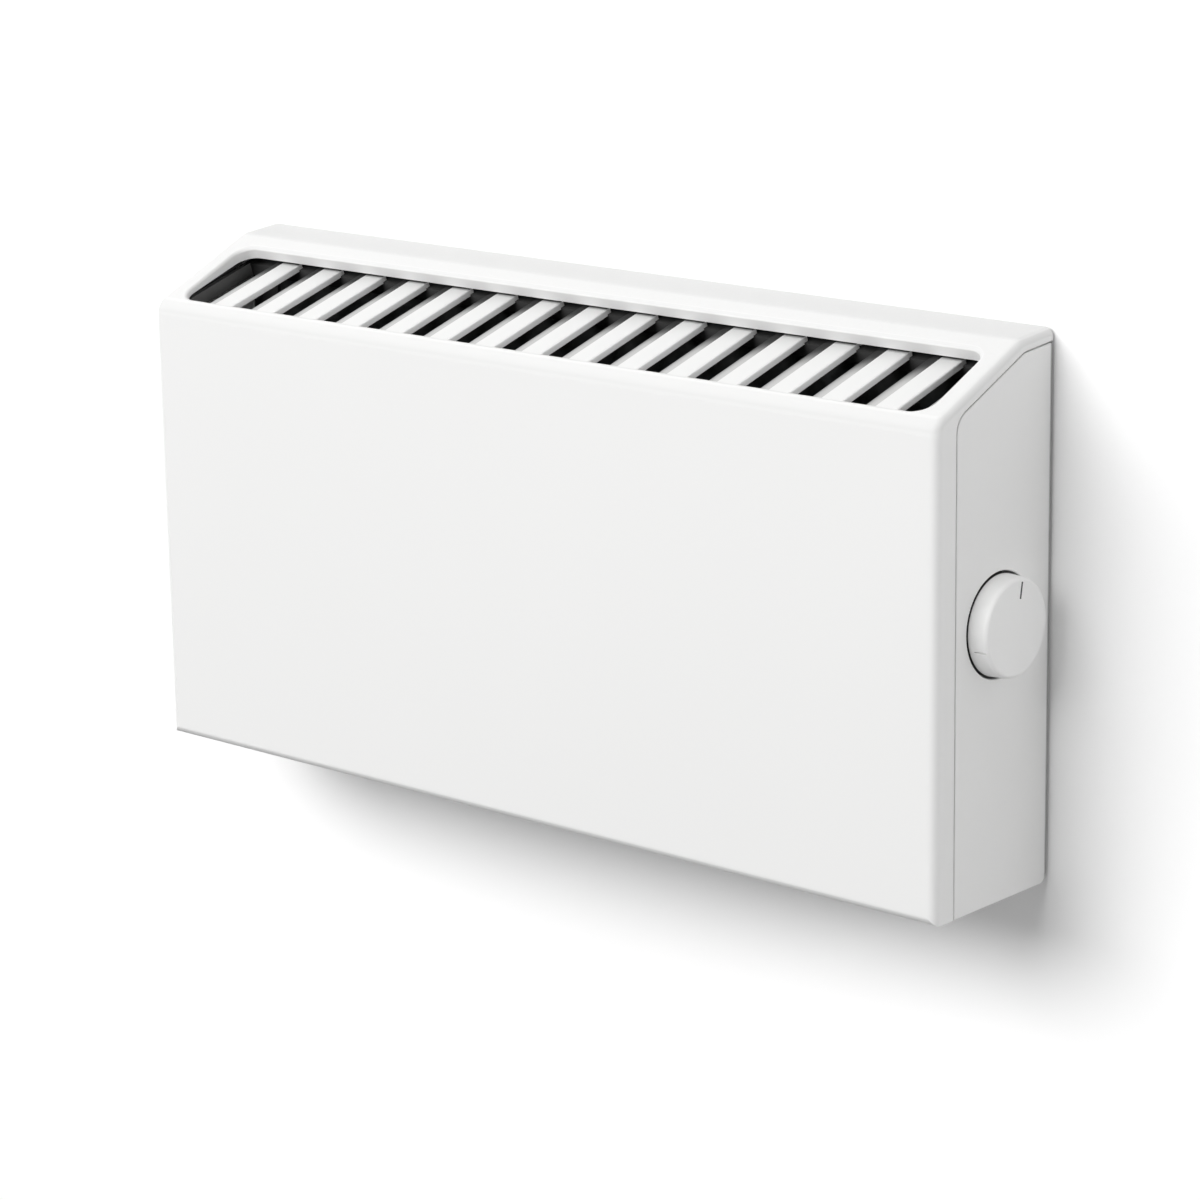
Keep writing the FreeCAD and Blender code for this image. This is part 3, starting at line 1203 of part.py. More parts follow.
def fasteners():
    """Screws that hold the panels, the supports, the thermostat, the terminal block and the cut-out."""
    back = "dims.back_y"
    forwards = V(0, -1, 0)
    rear = []
    for side in (-1, 1):
        rear.append(spot(f"{side} * dims.low_screw_x", back, "dims.low_screw_z"))
        for level in (-1, 1):
            rear.append(spot(f"{side} * dims.side_screw_x", back, f"{level} * dims.side_screw_z"))
    screw_group("back_panel_screws", rear, forwards, "dims.sheet + dims.shell + 4")
    screw_group("inner_support_screws", [spot(x, back, z) for x, z in inner_screw_spots()], forwards,
                "dims.sheet + dims.support_sheet + 3")
    cover = [spot(f"{side} * dims.cover_screw_x", "dims.cover_screw_y", "dims.bottom") for side in (-1, 1)]
    screw_group("cover_screws", cover, V(0, 0, 1), "2 * dims.shell + 3")
    normal = V(0, -value("dims.sin_grille"), value("dims.cos_grille"))
    along = V(0, value("dims.cos_grille"), value("dims.sin_grille"))
    seat = spot("0", "dims.grille_y", "dims.grille_z") + along * value("dims.boss_along")
    seat -= normal * value("dims.frame_drop + dims.frame_height")
    grille = [seat + V(side * value("dims.grille_boss_spacing"), 0, 0) for side in (-1, 0, 1)]
    small = ("dims.small_screw_radius", "dims.small_screw_head")
    screw_group("grille_screws", grille, normal, "dims.frame_height + 7",
                "dims.small_screw_radius - dims.screw_clearance", small[1])
    outer = "dims.thermostat_x + dims.support_sheet"
    collar = [spot(outer, "dims.knob_y", f"dims.knob_z + {level} * dims.thermostat_screw")
              for level in (-1, 1)]
    screw_group("thermostat_screws", collar, V(-1, 0, 0), "dims.thermostat_screw_length", *small)
    block_spots = [spot(f"dims.terminal_x + {side} * dims.terminal_pitch / 2", "dims.terminal_front",
                        "dims.terminal_z") for side in (-1, 1)]
    screw_group("terminal_block_screws", block_spots, V(0, 1, 0), "dims.terminal_depth + dims.sheet",
                *small)
    flange = "dims.shield_y - dims.sheet - dims.cutout_flange"
    cutout_spots = [spot(f"dims.cutout_x + {side} * dims.cutout_screw", flange, "dims.cutout_z")
                    for side in (-1, 1)]
    screw_group("cutout_screws", cutout_spots, V(0, 1, 0), "5", *small)
    screw_group("earth_screw", [spot("dims.earth_x", "dims.inner_back", "dims.earth_z")], V(0, 1, 0), "4")


front_cover()
end_panel("end_panel_left", -1)
end_panel_right()
outlet_grille()
bottom_panel()
back_panel()
wall_bracket()
wall_spacers()
heat_shield()
heating_element()
element_fittings()
thermostat()
control_knob()
sensor()
cutout()
terminals()
wiring()
fasteners()
doc.recompute()

for item in doc.Objects:
    if "Invalid" in item.State or "Error" in item.State:
        raise RuntimeError(f"{item.Name} failed: {item.State}")
for piece in pieces:
    if piece.Shape.isNull() or not piece.Shape.isValid():
        raise RuntimeError(f"{piece.Label} has no valid shape")

os.makedirs("parts", exist_ok=True)
for piece in pieces:
    piece.Shape.exportStep(f"parts/{piece.Label}.step")
print(len(pieces), "pieces written")
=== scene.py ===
"""Looks of a wall-hung panel heater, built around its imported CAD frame."""

import json
import math

import bpy
from mathutils import Matrix, Vector


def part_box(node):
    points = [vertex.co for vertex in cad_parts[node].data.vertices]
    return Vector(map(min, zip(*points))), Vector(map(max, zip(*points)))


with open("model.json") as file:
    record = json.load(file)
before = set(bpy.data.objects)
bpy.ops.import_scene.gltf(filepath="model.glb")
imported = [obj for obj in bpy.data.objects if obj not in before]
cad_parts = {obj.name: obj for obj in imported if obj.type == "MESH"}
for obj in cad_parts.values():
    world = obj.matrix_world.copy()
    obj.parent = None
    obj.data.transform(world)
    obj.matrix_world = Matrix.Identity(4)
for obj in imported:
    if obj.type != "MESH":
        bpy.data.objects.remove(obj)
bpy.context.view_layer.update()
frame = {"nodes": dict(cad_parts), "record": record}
nodes = frame["nodes"]

bl_info = {
    "name": "Wall-hung panel heater",
    "version": (1, 0, 0),
    "blender": (4, 5, 0),
    "location": "3D View > Sidebar > Heater",
    "description": "Dresses the pieces of a wall-hung panel heater and sets its stage",
    "category": "Object",
}

# Colours that no slot of the record gives
WHITE = (1.0, 1.0, 1.0)
SKIRT_BLACK = (0.02, 0.02, 0.02)
WELL_SHADE_BLACK = (0.015, 0.015, 0.016)
EARTH_YELLOW = (0.72, 0.58, 0.04)
TEMPER_STRAW = (0.5, 0.4, 0.24)
TEMPER_PURPLE = (0.3, 0.27, 0.36)
TEMPER_BLUE = (0.24, 0.29, 0.38)

# Powder coat, with painted shade on bends, undersides, tops, rear edges and insides: turns as the
# upward part of the normal, tones as shares of the colour, metres
BEND_START = (0.03, 0.3)
BEND_END = (0.9, 0.75)
BEND_SHADE_TONE = 0.895
UNDER_START = (-0.15, -0.35)
UNDER_END = (-0.9, -0.6)
UNDER_SHADE_TONE = 0.86
TOP_TURN = (0.8, 1.0)
TOP_SHADE_TONE = 0.88
REAR_SHADE_BAND = 0.002
REAR_SHADE_COVER = 0.85
REAR_SHADE_TONE = 0.1
INSIDE_SHADE_BAND = 0.0005
INSIDE_SHADE_TONE = 0.05

# Grille, with painted shade on the slats' left flanks, deep under their top plane, near and under
# the opening's rear edge and at its left end, and a painted highlight on faces turned right: turns
# as the sideways part of the normal, depths, starts, ends and bands in metres
FLANK_STOPS = [(0.015, 0.0), (0.045, 0.36), (0.16, 0.46), (0.3, 0.6), (0.45, 0.8), (0.6, 0.97)]
FLANK_NEAR = 0.8
CORNER_START = 0.024
CORNER_END = 0.003
CORNER_TURN = (-0.015, -0.06)
BAR_DEPTH = (0.001, 0.002)
BAR_BAND = 0.002
RIM_BAND = 0.002
TUCK_START = 0.003
TUCK_END = 0.0042
SHADE_COVER = 0.85
RIGHT_FACE_LIGHT_TURN = (0.3, 0.7)
RIGHT_FACE_LIGHT_TONE = 1.18
GRILLE_SHADE_TONE = 0.05

# Knob, with a painted highlight where it faces forward and painted shade inside the well: turn as
# the part of the normal towards the wall, the painted shade's edge in metres
KNOB_RIM_HIGHLIGHT_TURN = (-0.2, -0.7)
KNOB_RIM_HIGHLIGHT_TONE = 1.07
KNOB_WELL_SHADE_START = 0.0001
KNOB_WELL_SHADE_END = -0.0003

# Zinc sheet: painted shade on the faces that look forward, and how far its spangles are bent, in
# metres
FRONT_SHADE_TURN = (0.3, -0.3)
FRONT_SHADE_COVER = 0.85
FRONT_SHADE_TONE = 0.12
ZINC_WOBBLE = 0.004

# The wall's own glow for the camera, weaker next to the heater, painting a deeper shadow round it
WALL_GLOW = 0.21
WALL_GLOW_IN_SHADOW = 0.3
WALL_GLOW_FADE = (0.7, 1.15)
WALL_GLOW_SPREAD = (2.5, 0.0, 4.5)

# Stage: the wall's stretch across and up for each metre of reach, then lengths and powers
WALL_STRETCH = (4, 8)
SKIRT_GAP = 0.0005
WORLD_LEVEL = 0.17
SENSOR_WIDTH = 36.0
CLIP_START = 0.05
LAMPS = {
    "key lamp": {
        "place": (-1.05, -3.65, 2.05), "aim": (0.0, 0.0, 0.0),
        "width": 4.6, "height": 2.4, "power": 198.0,
    },
    "side lamp": {
        "place": (2.3, -0.8, 0.5), "aim": (0.24, -0.04, 0.0),
        "width": 0.9, "height": 0.9, "power": 10.2,
    },
    "back lamp": {
        "place": (0.6, 2.6, 0.9), "aim": (0.0, 0.0, 0.0),
        "width": 2.0, "height": 2.0, "power": 42.0,
    },
}


class HeaterSizes(bpy.types.PropertyGroup):
    """Sizes of the finishes and the stage that a user would change."""

    grille_front: bpy.props.FloatVectorProperty(
        name="Grille front",
        description="Point on the slats' top plane, at the opening's front edge",
        default=(0.0, -0.07561, 0.09626),
        subtype="TRANSLATION",
    )
    grille_tilt: bpy.props.FloatProperty(
        name="Grille tilt",
        description="Rise of the slats' top plane towards the wall",
        default=math.radians(16.63),
        subtype="ANGLE",
    )
    grille_reach: bpy.props.FloatProperty(
        name="Grille reach",
        description="Length of the outlet opening along the slats",
        default=0.048,
        unit="LENGTH",
    )
    # The end panel's dark inside is painted shade
    panel_sheet: bpy.props.FloatProperty(
        name="Panel sheet",
        description="Depth of the white skin of an end panel, before its dark inside",
        default=0.0026,
        unit="LENGTH",
    )
    slat_span: bpy.props.FloatProperty(
        name="Slat span",
        description="Half the width of the row of slats",
        default=0.225,
        unit="LENGTH",
    )
    # The grey deep under the slats is painted shade
    shade_depth: bpy.props.FloatProperty(
        name="Dust depth",
        description="Depth under the slats' top plane at which the grille is fully grey",
        default=0.0042,
        unit="LENGTH",
    )
    wall_reach: bpy.props.FloatProperty(
        name="Wall reach",
        description="About how far the wall runs to each side of the heater's middle",
        default=4.0,
        unit="LENGTH",
    )
    wall_opening_inset: bpy.props.FloatProperty(
        name="Wall opening inset",
        description="How far inside the heater's outline the opening in the wall stays",
        default=0.004,
        unit="LENGTH",
    )
    lens: bpy.props.FloatProperty(
        name="Lens",
        description="Focal length of the camera on a 36 mm sensor, in millimetres",
        default=119.85,
    )
    eye: bpy.props.FloatVectorProperty(
        name="Eye",
        description="Where the camera stands",
        default=(1.2213, -1.3895, 0.4412),
        subtype="TRANSLATION",
    )
    eye_yaw: bpy.props.FloatProperty(
        name="Yaw",
        description="Turn of the camera about the vertical",
        default=math.radians(41.86),
        subtype="ANGLE",
    )
    eye_pitch: bpy.props.FloatProperty(
        name="Pitch",
        description="How far the camera looks down",
        default=math.radians(14.41),
        subtype="ANGLE",
    )
    eye_roll: bpy.props.FloatProperty(
        name="Roll",
        description="Tilt of the camera about its own line of sight",
        default=math.radians(-0.92),
        subtype="ANGLE",
    )


class HeaterColours(bpy.types.PropertyGroup):
    """Colours of the finishes that a user would change."""

    casing: bpy.props.FloatVectorProperty(
        name="Casing",
        description="Satin white of the cover, end panels and bottom",
        default=(0.86, 0.86, 0.855),
        subtype="COLOR",
    )
    grille: bpy.props.FloatVectorProperty(
        name="Grille",
        description="White of the moulded outlet grille",
        default=(0.81, 0.81, 0.805),
        subtype="COLOR",
    )
    knob: bpy.props.FloatVectorProperty(
        name="Knob",
        description="White of the moulded control knob",
        default=(0.87, 0.87, 0.865),
        subtype="COLOR",
    )
    mark: bpy.props.FloatVectorProperty(
        name="Index mark",
        description="Dark grey of the index line on the knob",
        default=(0.045, 0.045, 0.05),
        subtype="COLOR",
    )
    wall: bpy.props.FloatVectorProperty(
        name="Wall",
        description="White of the wall behind the heater",
        default=(0.9, 0.9, 0.9),
        subtype="COLOR",
    )


def rgba(colour):
    """A colour with its alpha, as shader sockets want it."""
    return (colour[0], colour[1], colour[2], 1.0)


class Wire:
    """A shader socket on which plain arithmetic adds Math nodes."""

    def __init__(self, finish, socket):
        self.finish = finish
        self.socket = socket

    def maths(self, operation, first, second):
        return self.finish.node("ShaderNodeMath", {"operation": operation}, {0: first, 1: second})

    def __add__(self, other):
        return self.maths("ADD", self, other)

    def __radd__(self, other):
        return self.maths("ADD", other, self)

    def __sub__(self, other):
        return self.maths("SUBTRACT", self, other)

    def __rsub__(self, other):
        return self.maths("SUBTRACT", other, self)

    def __mul__(self, other):
        return self.maths("MULTIPLY", self, other)

    def __rmul__(self, other):
        return self.maths("MULTIPLY", other, self)

    def __gt__(self, other):
        return self.maths("GREATER_THAN", self, other)


class Finish:
    """A procedural material: its nodes and the shader that they feed."""

    def __init__(self, name):
        self.material = bpy.data.materials.new(name)
        self.material.use_nodes = True
        self.tree = self.material.node_tree
        self.shader = self.tree.nodes["Principled BSDF"]
        self.output = self.tree.nodes["Material Output"]

    def node(self, kind, settings=None, sockets=None, output=0):
        """Adds a node, sets its settings, then sets or links its sockets."""
        made = self.tree.nodes.new(kind)
        for name, setting in (settings or {}).items():
            if name == "stops":
                self.fill_ramp(made.color_ramp, setting)
            else:
                setattr(made, name, setting)
        for key, given in (sockets or {}).items():
            self.feed(made.inputs[key], given)
        return Wire(self, made.outputs[output])

    def fill_ramp(self, ramp, stops):
        """Sets the stops of a colour ramp, each a place and a grey level or colour."""
        while len(ramp.elements) < len(stops):
            ramp.elements.new(1.0)
        for element, (place, colour) in zip(ramp.elements, stops):
            element.position = place
            element.color = rgba(colour if isinstance(colour, tuple) else (colour,) * 3)

    def feed(self, socket, given):
        """Links a wire to a socket, or sets the socket's own value."""
        if isinstance(given, Wire):
            self.tree.links.new(given.socket, socket)
        else:
            socket.default_value = given

    def surface(self, **inputs):
        """Feeds the main shader's sockets, named with underscores for spaces."""
        for name, given in inputs.items():
            self.feed(self.shader.inputs[name.replace("_", " ")], given)

    def place(self, scale=(1, 1, 1)):
        """The point on the piece, stretched for a pattern."""
        point = self.node("ShaderNodeTexCoord", output="Object")
        return self.node(
            "ShaderNodeMapping", {"vector_type": "POINT"}, {"Vector": point, "Scale": scale}
        )

    def axis(self, vector, letter):
        """One part of a vector."""
        return self.node("ShaderNodeSeparateXYZ", None, {0: vector}, letter)

    def facing(self, letter):
        """How far the surface faces along an axis, from -1 to 1."""
        return self.axis(self.node("ShaderNodeNewGeometry", output="Normal"), letter)

    def dot(self, point, direction):
        """How far a point lies along a direction."""
        return self.node(
            "ShaderNodeVectorMath",
            {"operation": "DOT_PRODUCT"},
            {0: point, 1: direction},
            "Value",
        )

    def noise(self, point, scale, detail=2.0, rough=0.5):
        """Soft noise from 0 to 1 with so many lumps to the metre."""
        return self.node(
            "ShaderNodeTexNoise",
            {"noise_dimensions": "3D"},
            {"Vector": point, "Scale": scale, "Detail": detail, "Roughness": rough},
        )

    def blend(self, factor, first, second):
        """A colour between two others."""
        return self.node(
            "ShaderNodeMix",
            {"data_type": "RGBA"},
            {"Factor": factor, 6: first, 7: second},
            output=2,
        )

    def mottle(self, colour, spread, first, second, share):
        """The colour made a little lighter and darker by two noises."""
        return self.blend(
            first * share + second * (1.0 - share),
            shade(colour, 1.0 - spread),
            shade(colour, 1.0 + spread),
        )

    def fade(self, value, start, end):
        """A smooth step from 0 at the start to 1 at the end."""
        return self.node(
            "ShaderNodeMapRange",
            {"interpolation_type": "SMOOTHSTEP", "clamp": True},
            {"Value": value, "From Min": start, "From Max": end},
        )

    def bump(self, height, depth):
        """A normal from a height, where a height of 1 stands so many metres up."""
        return self.node(
            "ShaderNodeBump", None, {"Strength": 1.0, "Distance": depth, "Height": height}
        )


def shade(colour, factor):
    """A colour made lighter or darker."""
    return rgba([min(1.0, part * factor) for part in colour])


def coated_sheet(name, colour, rough=0.48, peel=16e-6, grain=5e-6, rear=None, inside=None):
    """Satin powder coat with orange peel, a fine grain and a faint tone drift.

    It has painted shade on bends, undersides and tops, patchy on tops, a painted shadow on a rear
    edge and painted shade on an inside.
    """
    finish = Finish(name)
    point = finish.place()
    waves = finish.noise(point, scale=330.0, detail=1.0)
    specks = finish.noise(point, scale=1900.0)
    drift = finish.noise(point, scale=7.0)
    dust = finish.noise(point, scale=620.0, detail=3.0, rough=0.6)
    tone = finish.mottle(colour, 0.015, drift, dust, 0.7)
    upward = finish.facing("Z")
    # Painted shade on bends, dimming their highlight
    bend_shade = finish.fade(upward, *BEND_START) * finish.fade(upward, *BEND_END)
    tone = finish.blend(bend_shade, tone, shade(colour, BEND_SHADE_TONE))
    # Painted shade on faces turned down
    under = finish.fade(upward, *UNDER_START) * finish.fade(upward, *UNDER_END)
    tone = finish.blend(under, tone, shade(colour, UNDER_SHADE_TONE))
    # Painted shade on tops, patchy with the dust noise
    top = finish.fade(upward, *TOP_TURN) * (0.7 + 0.6 * dust)
    tone = finish.blend(top, tone, shade(colour, TOP_SHADE_TONE))
    if rear is not None:
        # Painted shadow along a rear edge, where it stands off the wall
        edge = finish.fade(finish.axis(point, "Y"), rear - REAR_SHADE_BAND, rear)
        tone = finish.blend(edge * REAR_SHADE_COVER, tone, shade(colour, REAR_SHADE_TONE))
    if inside is not None:
        # Painted shade on the inside of a panel, seen through the grille
        inside_shade = finish.fade(finish.axis(point, "X"), inside, inside + INSIDE_SHADE_BAND)
        tone = finish.blend(inside_shade, tone, shade(colour, INSIDE_SHADE_TONE))
    finish.surface(
        Base_Color=tone,
        Roughness=rough - 0.05 + 0.06 * drift + 0.04 * specks,
        Normal=finish.bump(waves + specks * (grain / peel), peel),
        Specular_IOR_Level=0.1,
    )
    return finish.material


def moulding(name, colour, rough=0.5, grain=6e-6, flecks=1500.0):
    """Moulded plastic with the fine spark grain of its mould and a faint flow tone."""
    finish = Finish(name)
    point = finish.place()
    spark = finish.noise(point, scale=flecks, detail=3.0, rough=0.65)
    flow = finish.noise(finish.place((1.0, 3.0, 3.0)), scale=11.0)
    finish.surface(
        Base_Color=finish.mottle(colour, 0.03, flow, spark, 0.6),
        Roughness=rough - 0.06 + 0.12 * spark,
        Normal=finish.bump(spark, grain),
        Specular_IOR_Level=0.45,
    )
    return finish.material


def spangled_zinc(name, colour):
    """Galvanised sheet: zinc spangles of differing tone and gloss, scuffed, with painted shade on
    faces that look forward.
    """
    finish = Finish(name)
    point = finish.place()
    wobble = finish.noise(point, scale=60.0)
    shift = finish.node(
        "ShaderNodeVectorMath", {"operation": "SCALE"}, {0: wobble, "Scale": ZINC_WOBBLE}
    )
    bent = finish.node("ShaderNodeVectorMath", {"operation": "ADD"}, {0: point, 1: shift})
    spangle = finish.node(
        "ShaderNodeTexVoronoi",
        {"feature": "F1"},
        {"Vector": bent, "Scale": 170.0},
        output="Color",
    )
    tint = finish.node("ShaderNodeSeparateColor", None, {0: spangle})
    scuff = finish.noise(finish.place((4.0, 90.0, 90.0)), scale=9.0, detail=3.0)
    tone = finish.blend(tint * 0.75 + scuff * 0.25, shade(colour, 0.6), shade(colour, 0.84))
    # Painted shade on faces that look forward, dark as seen through the grille
    front_shade = finish.fade(finish.facing("Y"), *FRONT_SHADE_TURN)
    finish.surface(
        Base_Color=finish.blend(front_shade * FRONT_SHADE_COVER, tone, shade(colour, FRONT_SHADE_TONE)),
        Roughness=0.34 + 0.16 * tint + 0.08 * scuff,
        Normal=finish.bump(tint * 0.5 + scuff * 0.5, 8e-6),
        Metallic=1.0,
    )
    return finish.material


def drawn_metal(name, colour, rough=0.3, stretch=(2.0, 160.0, 160.0), stain=0.18):
    """Bare drawn or rolled metal: fine lines along its length and a patchy tarnish."""
    finish = Finish(name)
    lines = finish.noise(finish.place(stretch), scale=14.0, detail=3.0, rough=0.6)
    patches = finish.noise(finish.place(), scale=85.0, detail=3.0)
    tone = finish.blend(
        lines * (1.0 - stain) + patches * stain, shade(colour, 0.78), shade(colour, 1.1)
    )
    finish.surface(
        Base_Color=tone,
        Roughness=rough - 0.06 + 0.14 * lines + 0.1 * patches,
        Normal=finish.bump(lines, 6e-6),
        Metallic=1.0,
    )
    return finish.material


def heated_steel(name, colour):
    """Bare steel that has been hot: straw and blue bands over fine drawn lines."""
    finish = Finish(name)
    lines = finish.noise(finish.place((3.0, 150.0, 150.0)), scale=12.0)
    bands = finish.noise(finish.place((9.0, 2.0, 2.0)), scale=3.0)
    temper = [
        (0.2, tuple(colour)), (0.45, TEMPER_STRAW), (0.62, TEMPER_PURPLE), (0.85, TEMPER_BLUE)
    ]
    tint = finish.node("ShaderNodeValToRGB", {"stops": temper}, {"Fac": bands})
    finish.surface(
        Base_Color=finish.blend(lines * 0.4 + 0.3, rgba(colour), tint),
        Roughness=0.28 + 0.2 * lines,
        Normal=finish.bump(lines, 5e-6),
        Metallic=1.0,
    )
    return finish.material


def glazed_ceramic(name, colour):
    """Glazed ceramic: creamy body with tiny specks and a soft uneven glaze."""
    finish = Finish(name)
    point = finish.place()
    ripple = finish.noise(point, scale=420.0, detail=1.0)
    specks = finish.noise(point, scale=2600.0, detail=1.0)
    tone = finish.blend(specks > 0.66, rgba(colour), shade(colour, 0.62))
    finish.surface(
        Base_Color=finish.blend(ripple * 0.3, tone, shade(colour, 0.9)),
        Roughness=0.16 + 0.12 * ripple,
        Normal=finish.bump(ripple, 14e-6),
    )
    return finish.material


def earth_lead(name, colour):
    """Two-colour wire insulation: slanting yellow stripes on the green."""
    finish = Finish(name)
    stripe = finish.node(
        "ShaderNodeTexWave",
        {"wave_type": "BANDS", "bands_direction": "DIAGONAL"},
        {"Vector": finish.place(), "Scale": 42.0, "Distortion": 0.0},
    )
    skin = finish.noise(finish.place(), scale=900.0)
    finish.surface(
        Base_Color=finish.blend(stripe > 0.62, rgba(colour), rgba(EARTH_YELLOW)),
        Roughness=0.36 + 0.12 * skin,
        Normal=finish.bump(skin, 6e-6),
    )
    return finish.material


def finish_nodes(names, material):
    """Gives CAD nodes a better material through their objects' slots."""
    for name in names:
        for slot in nodes[name].material_slots:
            slot.material = material


def slot_colour(slot):
    """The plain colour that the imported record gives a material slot."""
    for entry in frame["record"]["materials"]:
        if entry["slot"] == slot:
            return tuple(entry["base_color"])
    raise RuntimeError(f"the record has no material slot {slot}")


def slot_nodes(slot):
    """The names of the CAD nodes that take their finish from a slot."""
    names = [part["node"] for part in frame["record"]["subparts"] if part["material_slot"] == slot]
    if not names:
        raise RuntimeError(f"no node uses the material slot {slot}")
    return names


def finish_slot(slot, make, name, **traits):
    """Gives all nodes of a slot a finish in the slot's own colour."""
    finish_nodes(slot_nodes(slot), make(name, slot_colour(slot), **traits))


def deselect_all():
    """Leaves edit mode and selects nothing."""
    if bpy.context.object and bpy.context.object.mode != "OBJECT":
        bpy.ops.object.mode_set(mode="OBJECT")
    bpy.ops.object.select_all(action="DESELECT")


class HEATER_OT_casing(bpy.types.Operator):
    """Dress the cover, end panels and bottom in satin white powder coat"""

    bl_idname = "heater.casing"
    bl_label = "Casing"

    def execute(self, context):
        colours, sizes = context.scene.heater_colours, context.scene.heater_sizes
        finish_nodes(slot_nodes("white_casing"), coated_sheet("satin white coat", colours.casing))
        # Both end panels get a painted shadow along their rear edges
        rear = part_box("end_panel_right")[1][1]
        right = coated_sheet("satin white right end coat", colours.casing, rear=rear)
        finish_nodes(("end_panel_right",), right)
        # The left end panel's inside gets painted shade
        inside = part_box("end_panel_left")[0][0] + sizes.panel_sheet
        left = coated_sheet("satin white left end coat", colours.casing, rear=rear, inside=inside)
        finish_nodes(("end_panel_left",), left)
        return {"FINISHED"}


def grille_moulding(name, colour, sizes):
    """White moulding with painted shade on the slats' left flanks and below them, deepest near the
    wall, and a painted highlight on faces turned right.
    """
    finish = Finish(name)
    point = finish.place()
    spark = finish.noise(point, scale=1500.0, detail=3.0, rough=0.65)
    flow = finish.noise(finish.place((1.0, 3.0, 3.0)), scale=11.0)
    rise = Vector((0.0, -math.sin(sizes.grille_tilt), math.cos(sizes.grille_tilt)))
    run = Vector((0.0, math.cos(sizes.grille_tilt), math.sin(sizes.grille_tilt)))
    depth = rise.dot(sizes.grille_front) - finish.dot(point, rise)
    along = finish.dot(point, run)
    sideways = finish.facing("X")
    front = run.dot(sizes.grille_front)
    rear = front + sizes.grille_reach
    left = -sizes.slat_span
    # Faces turned right get a painted highlight; most painted shades fall on the others
    lit = finish.fade(sideways, *RIGHT_FACE_LIGHT_TURN)
    turned = 1.0 - lit
    # Painted shade on the slats' left flanks, stronger towards the wall
    flank_shade = finish.node("ShaderNodeValToRGB", {"stops": FLANK_STOPS}, {"Fac": -1.0 * sideways})
    far = finish.fade(along, front, rear)
    # Painted shade deep under the slats' top plane, at the frame behind the opening, in its rear
    # corners, on the slats' ends under the rear lip and at its left end
    sunk_shade = finish.fade(depth, 0.5 * sizes.shade_depth, sizes.shade_depth) * turned
    bar_shade = finish.fade(depth, *BAR_DEPTH) * finish.fade(along, rear, rear + BAR_BAND) * turned
    corner_shade = finish.fade(along, rear - CORNER_START, rear - CORNER_END)
    corner_shade = corner_shade * finish.fade(sideways, *CORNER_TURN)
    tucked_shade = finish.fade(along, rear + TUCK_START, rear + TUCK_END) * turned
    left_end_shade = finish.fade(finish.axis(point, "X"), left, left - RIM_BAND)
    clear = 1.0 - (FLANK_NEAR + (1.0 - FLANK_NEAR) * far) * flank_shade
    # Each painted shade darkens the moulding's colour further
    for painted_shade in (sunk_shade, bar_shade, corner_shade, SHADE_COVER * tucked_shade, SHADE_COVER * left_end_shade):
        clear = clear * (1.0 - painted_shade)
    bright_tone = finish.mottle(colour, 0.02, flow, spark, 0.6)
    # Painted highlight on faces turned right
    bright_tone = finish.blend(lit, bright_tone, shade(colour, RIGHT_FACE_LIGHT_TONE))
    finish.surface(
        Base_Color=finish.blend(clear, shade(colour, GRILLE_SHADE_TONE), bright_tone),
        Roughness=0.64 + 0.12 * spark - 0.2 * clear,
        Normal=finish.bump(spark, 6e-6),
        Specular_IOR_Level=0.2,
    )
    return finish.material


class HEATER_OT_grille(bpy.types.Operator):
    """Dress the louvred outlet grille"""

    bl_idname = "heater.grille"
    bl_label = "Outlet grille"

    def execute(self, context):
        colours = context.scene.heater_colours
        white = grille_moulding("white grille moulding", colours.grille, context.scene.heater_sizes)
        finish_nodes(slot_nodes("white_grille"), white)
        return {"FINISHED"}


def knob_moulding(name, colour, skirt):
    """Fine-grained white moulding, with painted shade inside the well and a painted highlight where
    it faces forward.
    """
    finish = Finish(name)
    point = finish.place()
    spark = finish.noise(point, scale=1700.0, detail=3.0, rough=0.6)
    flow = finish.noise(finish.place((3.0, 1.0, 1.0)), scale=25.0)
    along = finish.axis(point, "X")
    # Painted shade on the part of the knob inside the well
    sunk_shade = finish.fade(along, skirt + KNOB_WELL_SHADE_START, skirt + KNOB_WELL_SHADE_END)
    bright_tone = finish.mottle(colour, 0.02, flow, spark, 0.6)
    # Painted highlight where the knob faces forward
    ahead = finish.fade(finish.facing("Y"), *KNOB_RIM_HIGHLIGHT_TURN)
    bright_tone = finish.blend(ahead, bright_tone, shade(colour, KNOB_RIM_HIGHLIGHT_TONE))
    finish.surface(
        Base_Color=finish.blend(sunk_shade, bright_tone, rgba(WELL_SHADE_BLACK)),
        Roughness=0.36 + 0.1 * spark + 0.2 * sunk_shade,
        Normal=finish.bump(spark, 4e-6),
        Specular_IOR_Level=0.5,
    )
    return finish.material


class HEATER_OT_knob(bpy.types.Operator):
    """Dress the control knob and its index line"""

    bl_idname = "heater.knob"
    bl_label = "Control knob"

    def execute(self, context):
        colours = context.scene.heater_colours
        white = knob_moulding("white knob moulding", colours.knob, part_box("end_panel_right")[1][0])
        finish_nodes(slot_nodes("white_knob"), white)
        mark = moulding("dark index paint", colours.mark, rough=0.55)
        finish_nodes(slot_nodes("grey_mark"), mark)
        return {"FINISHED"}


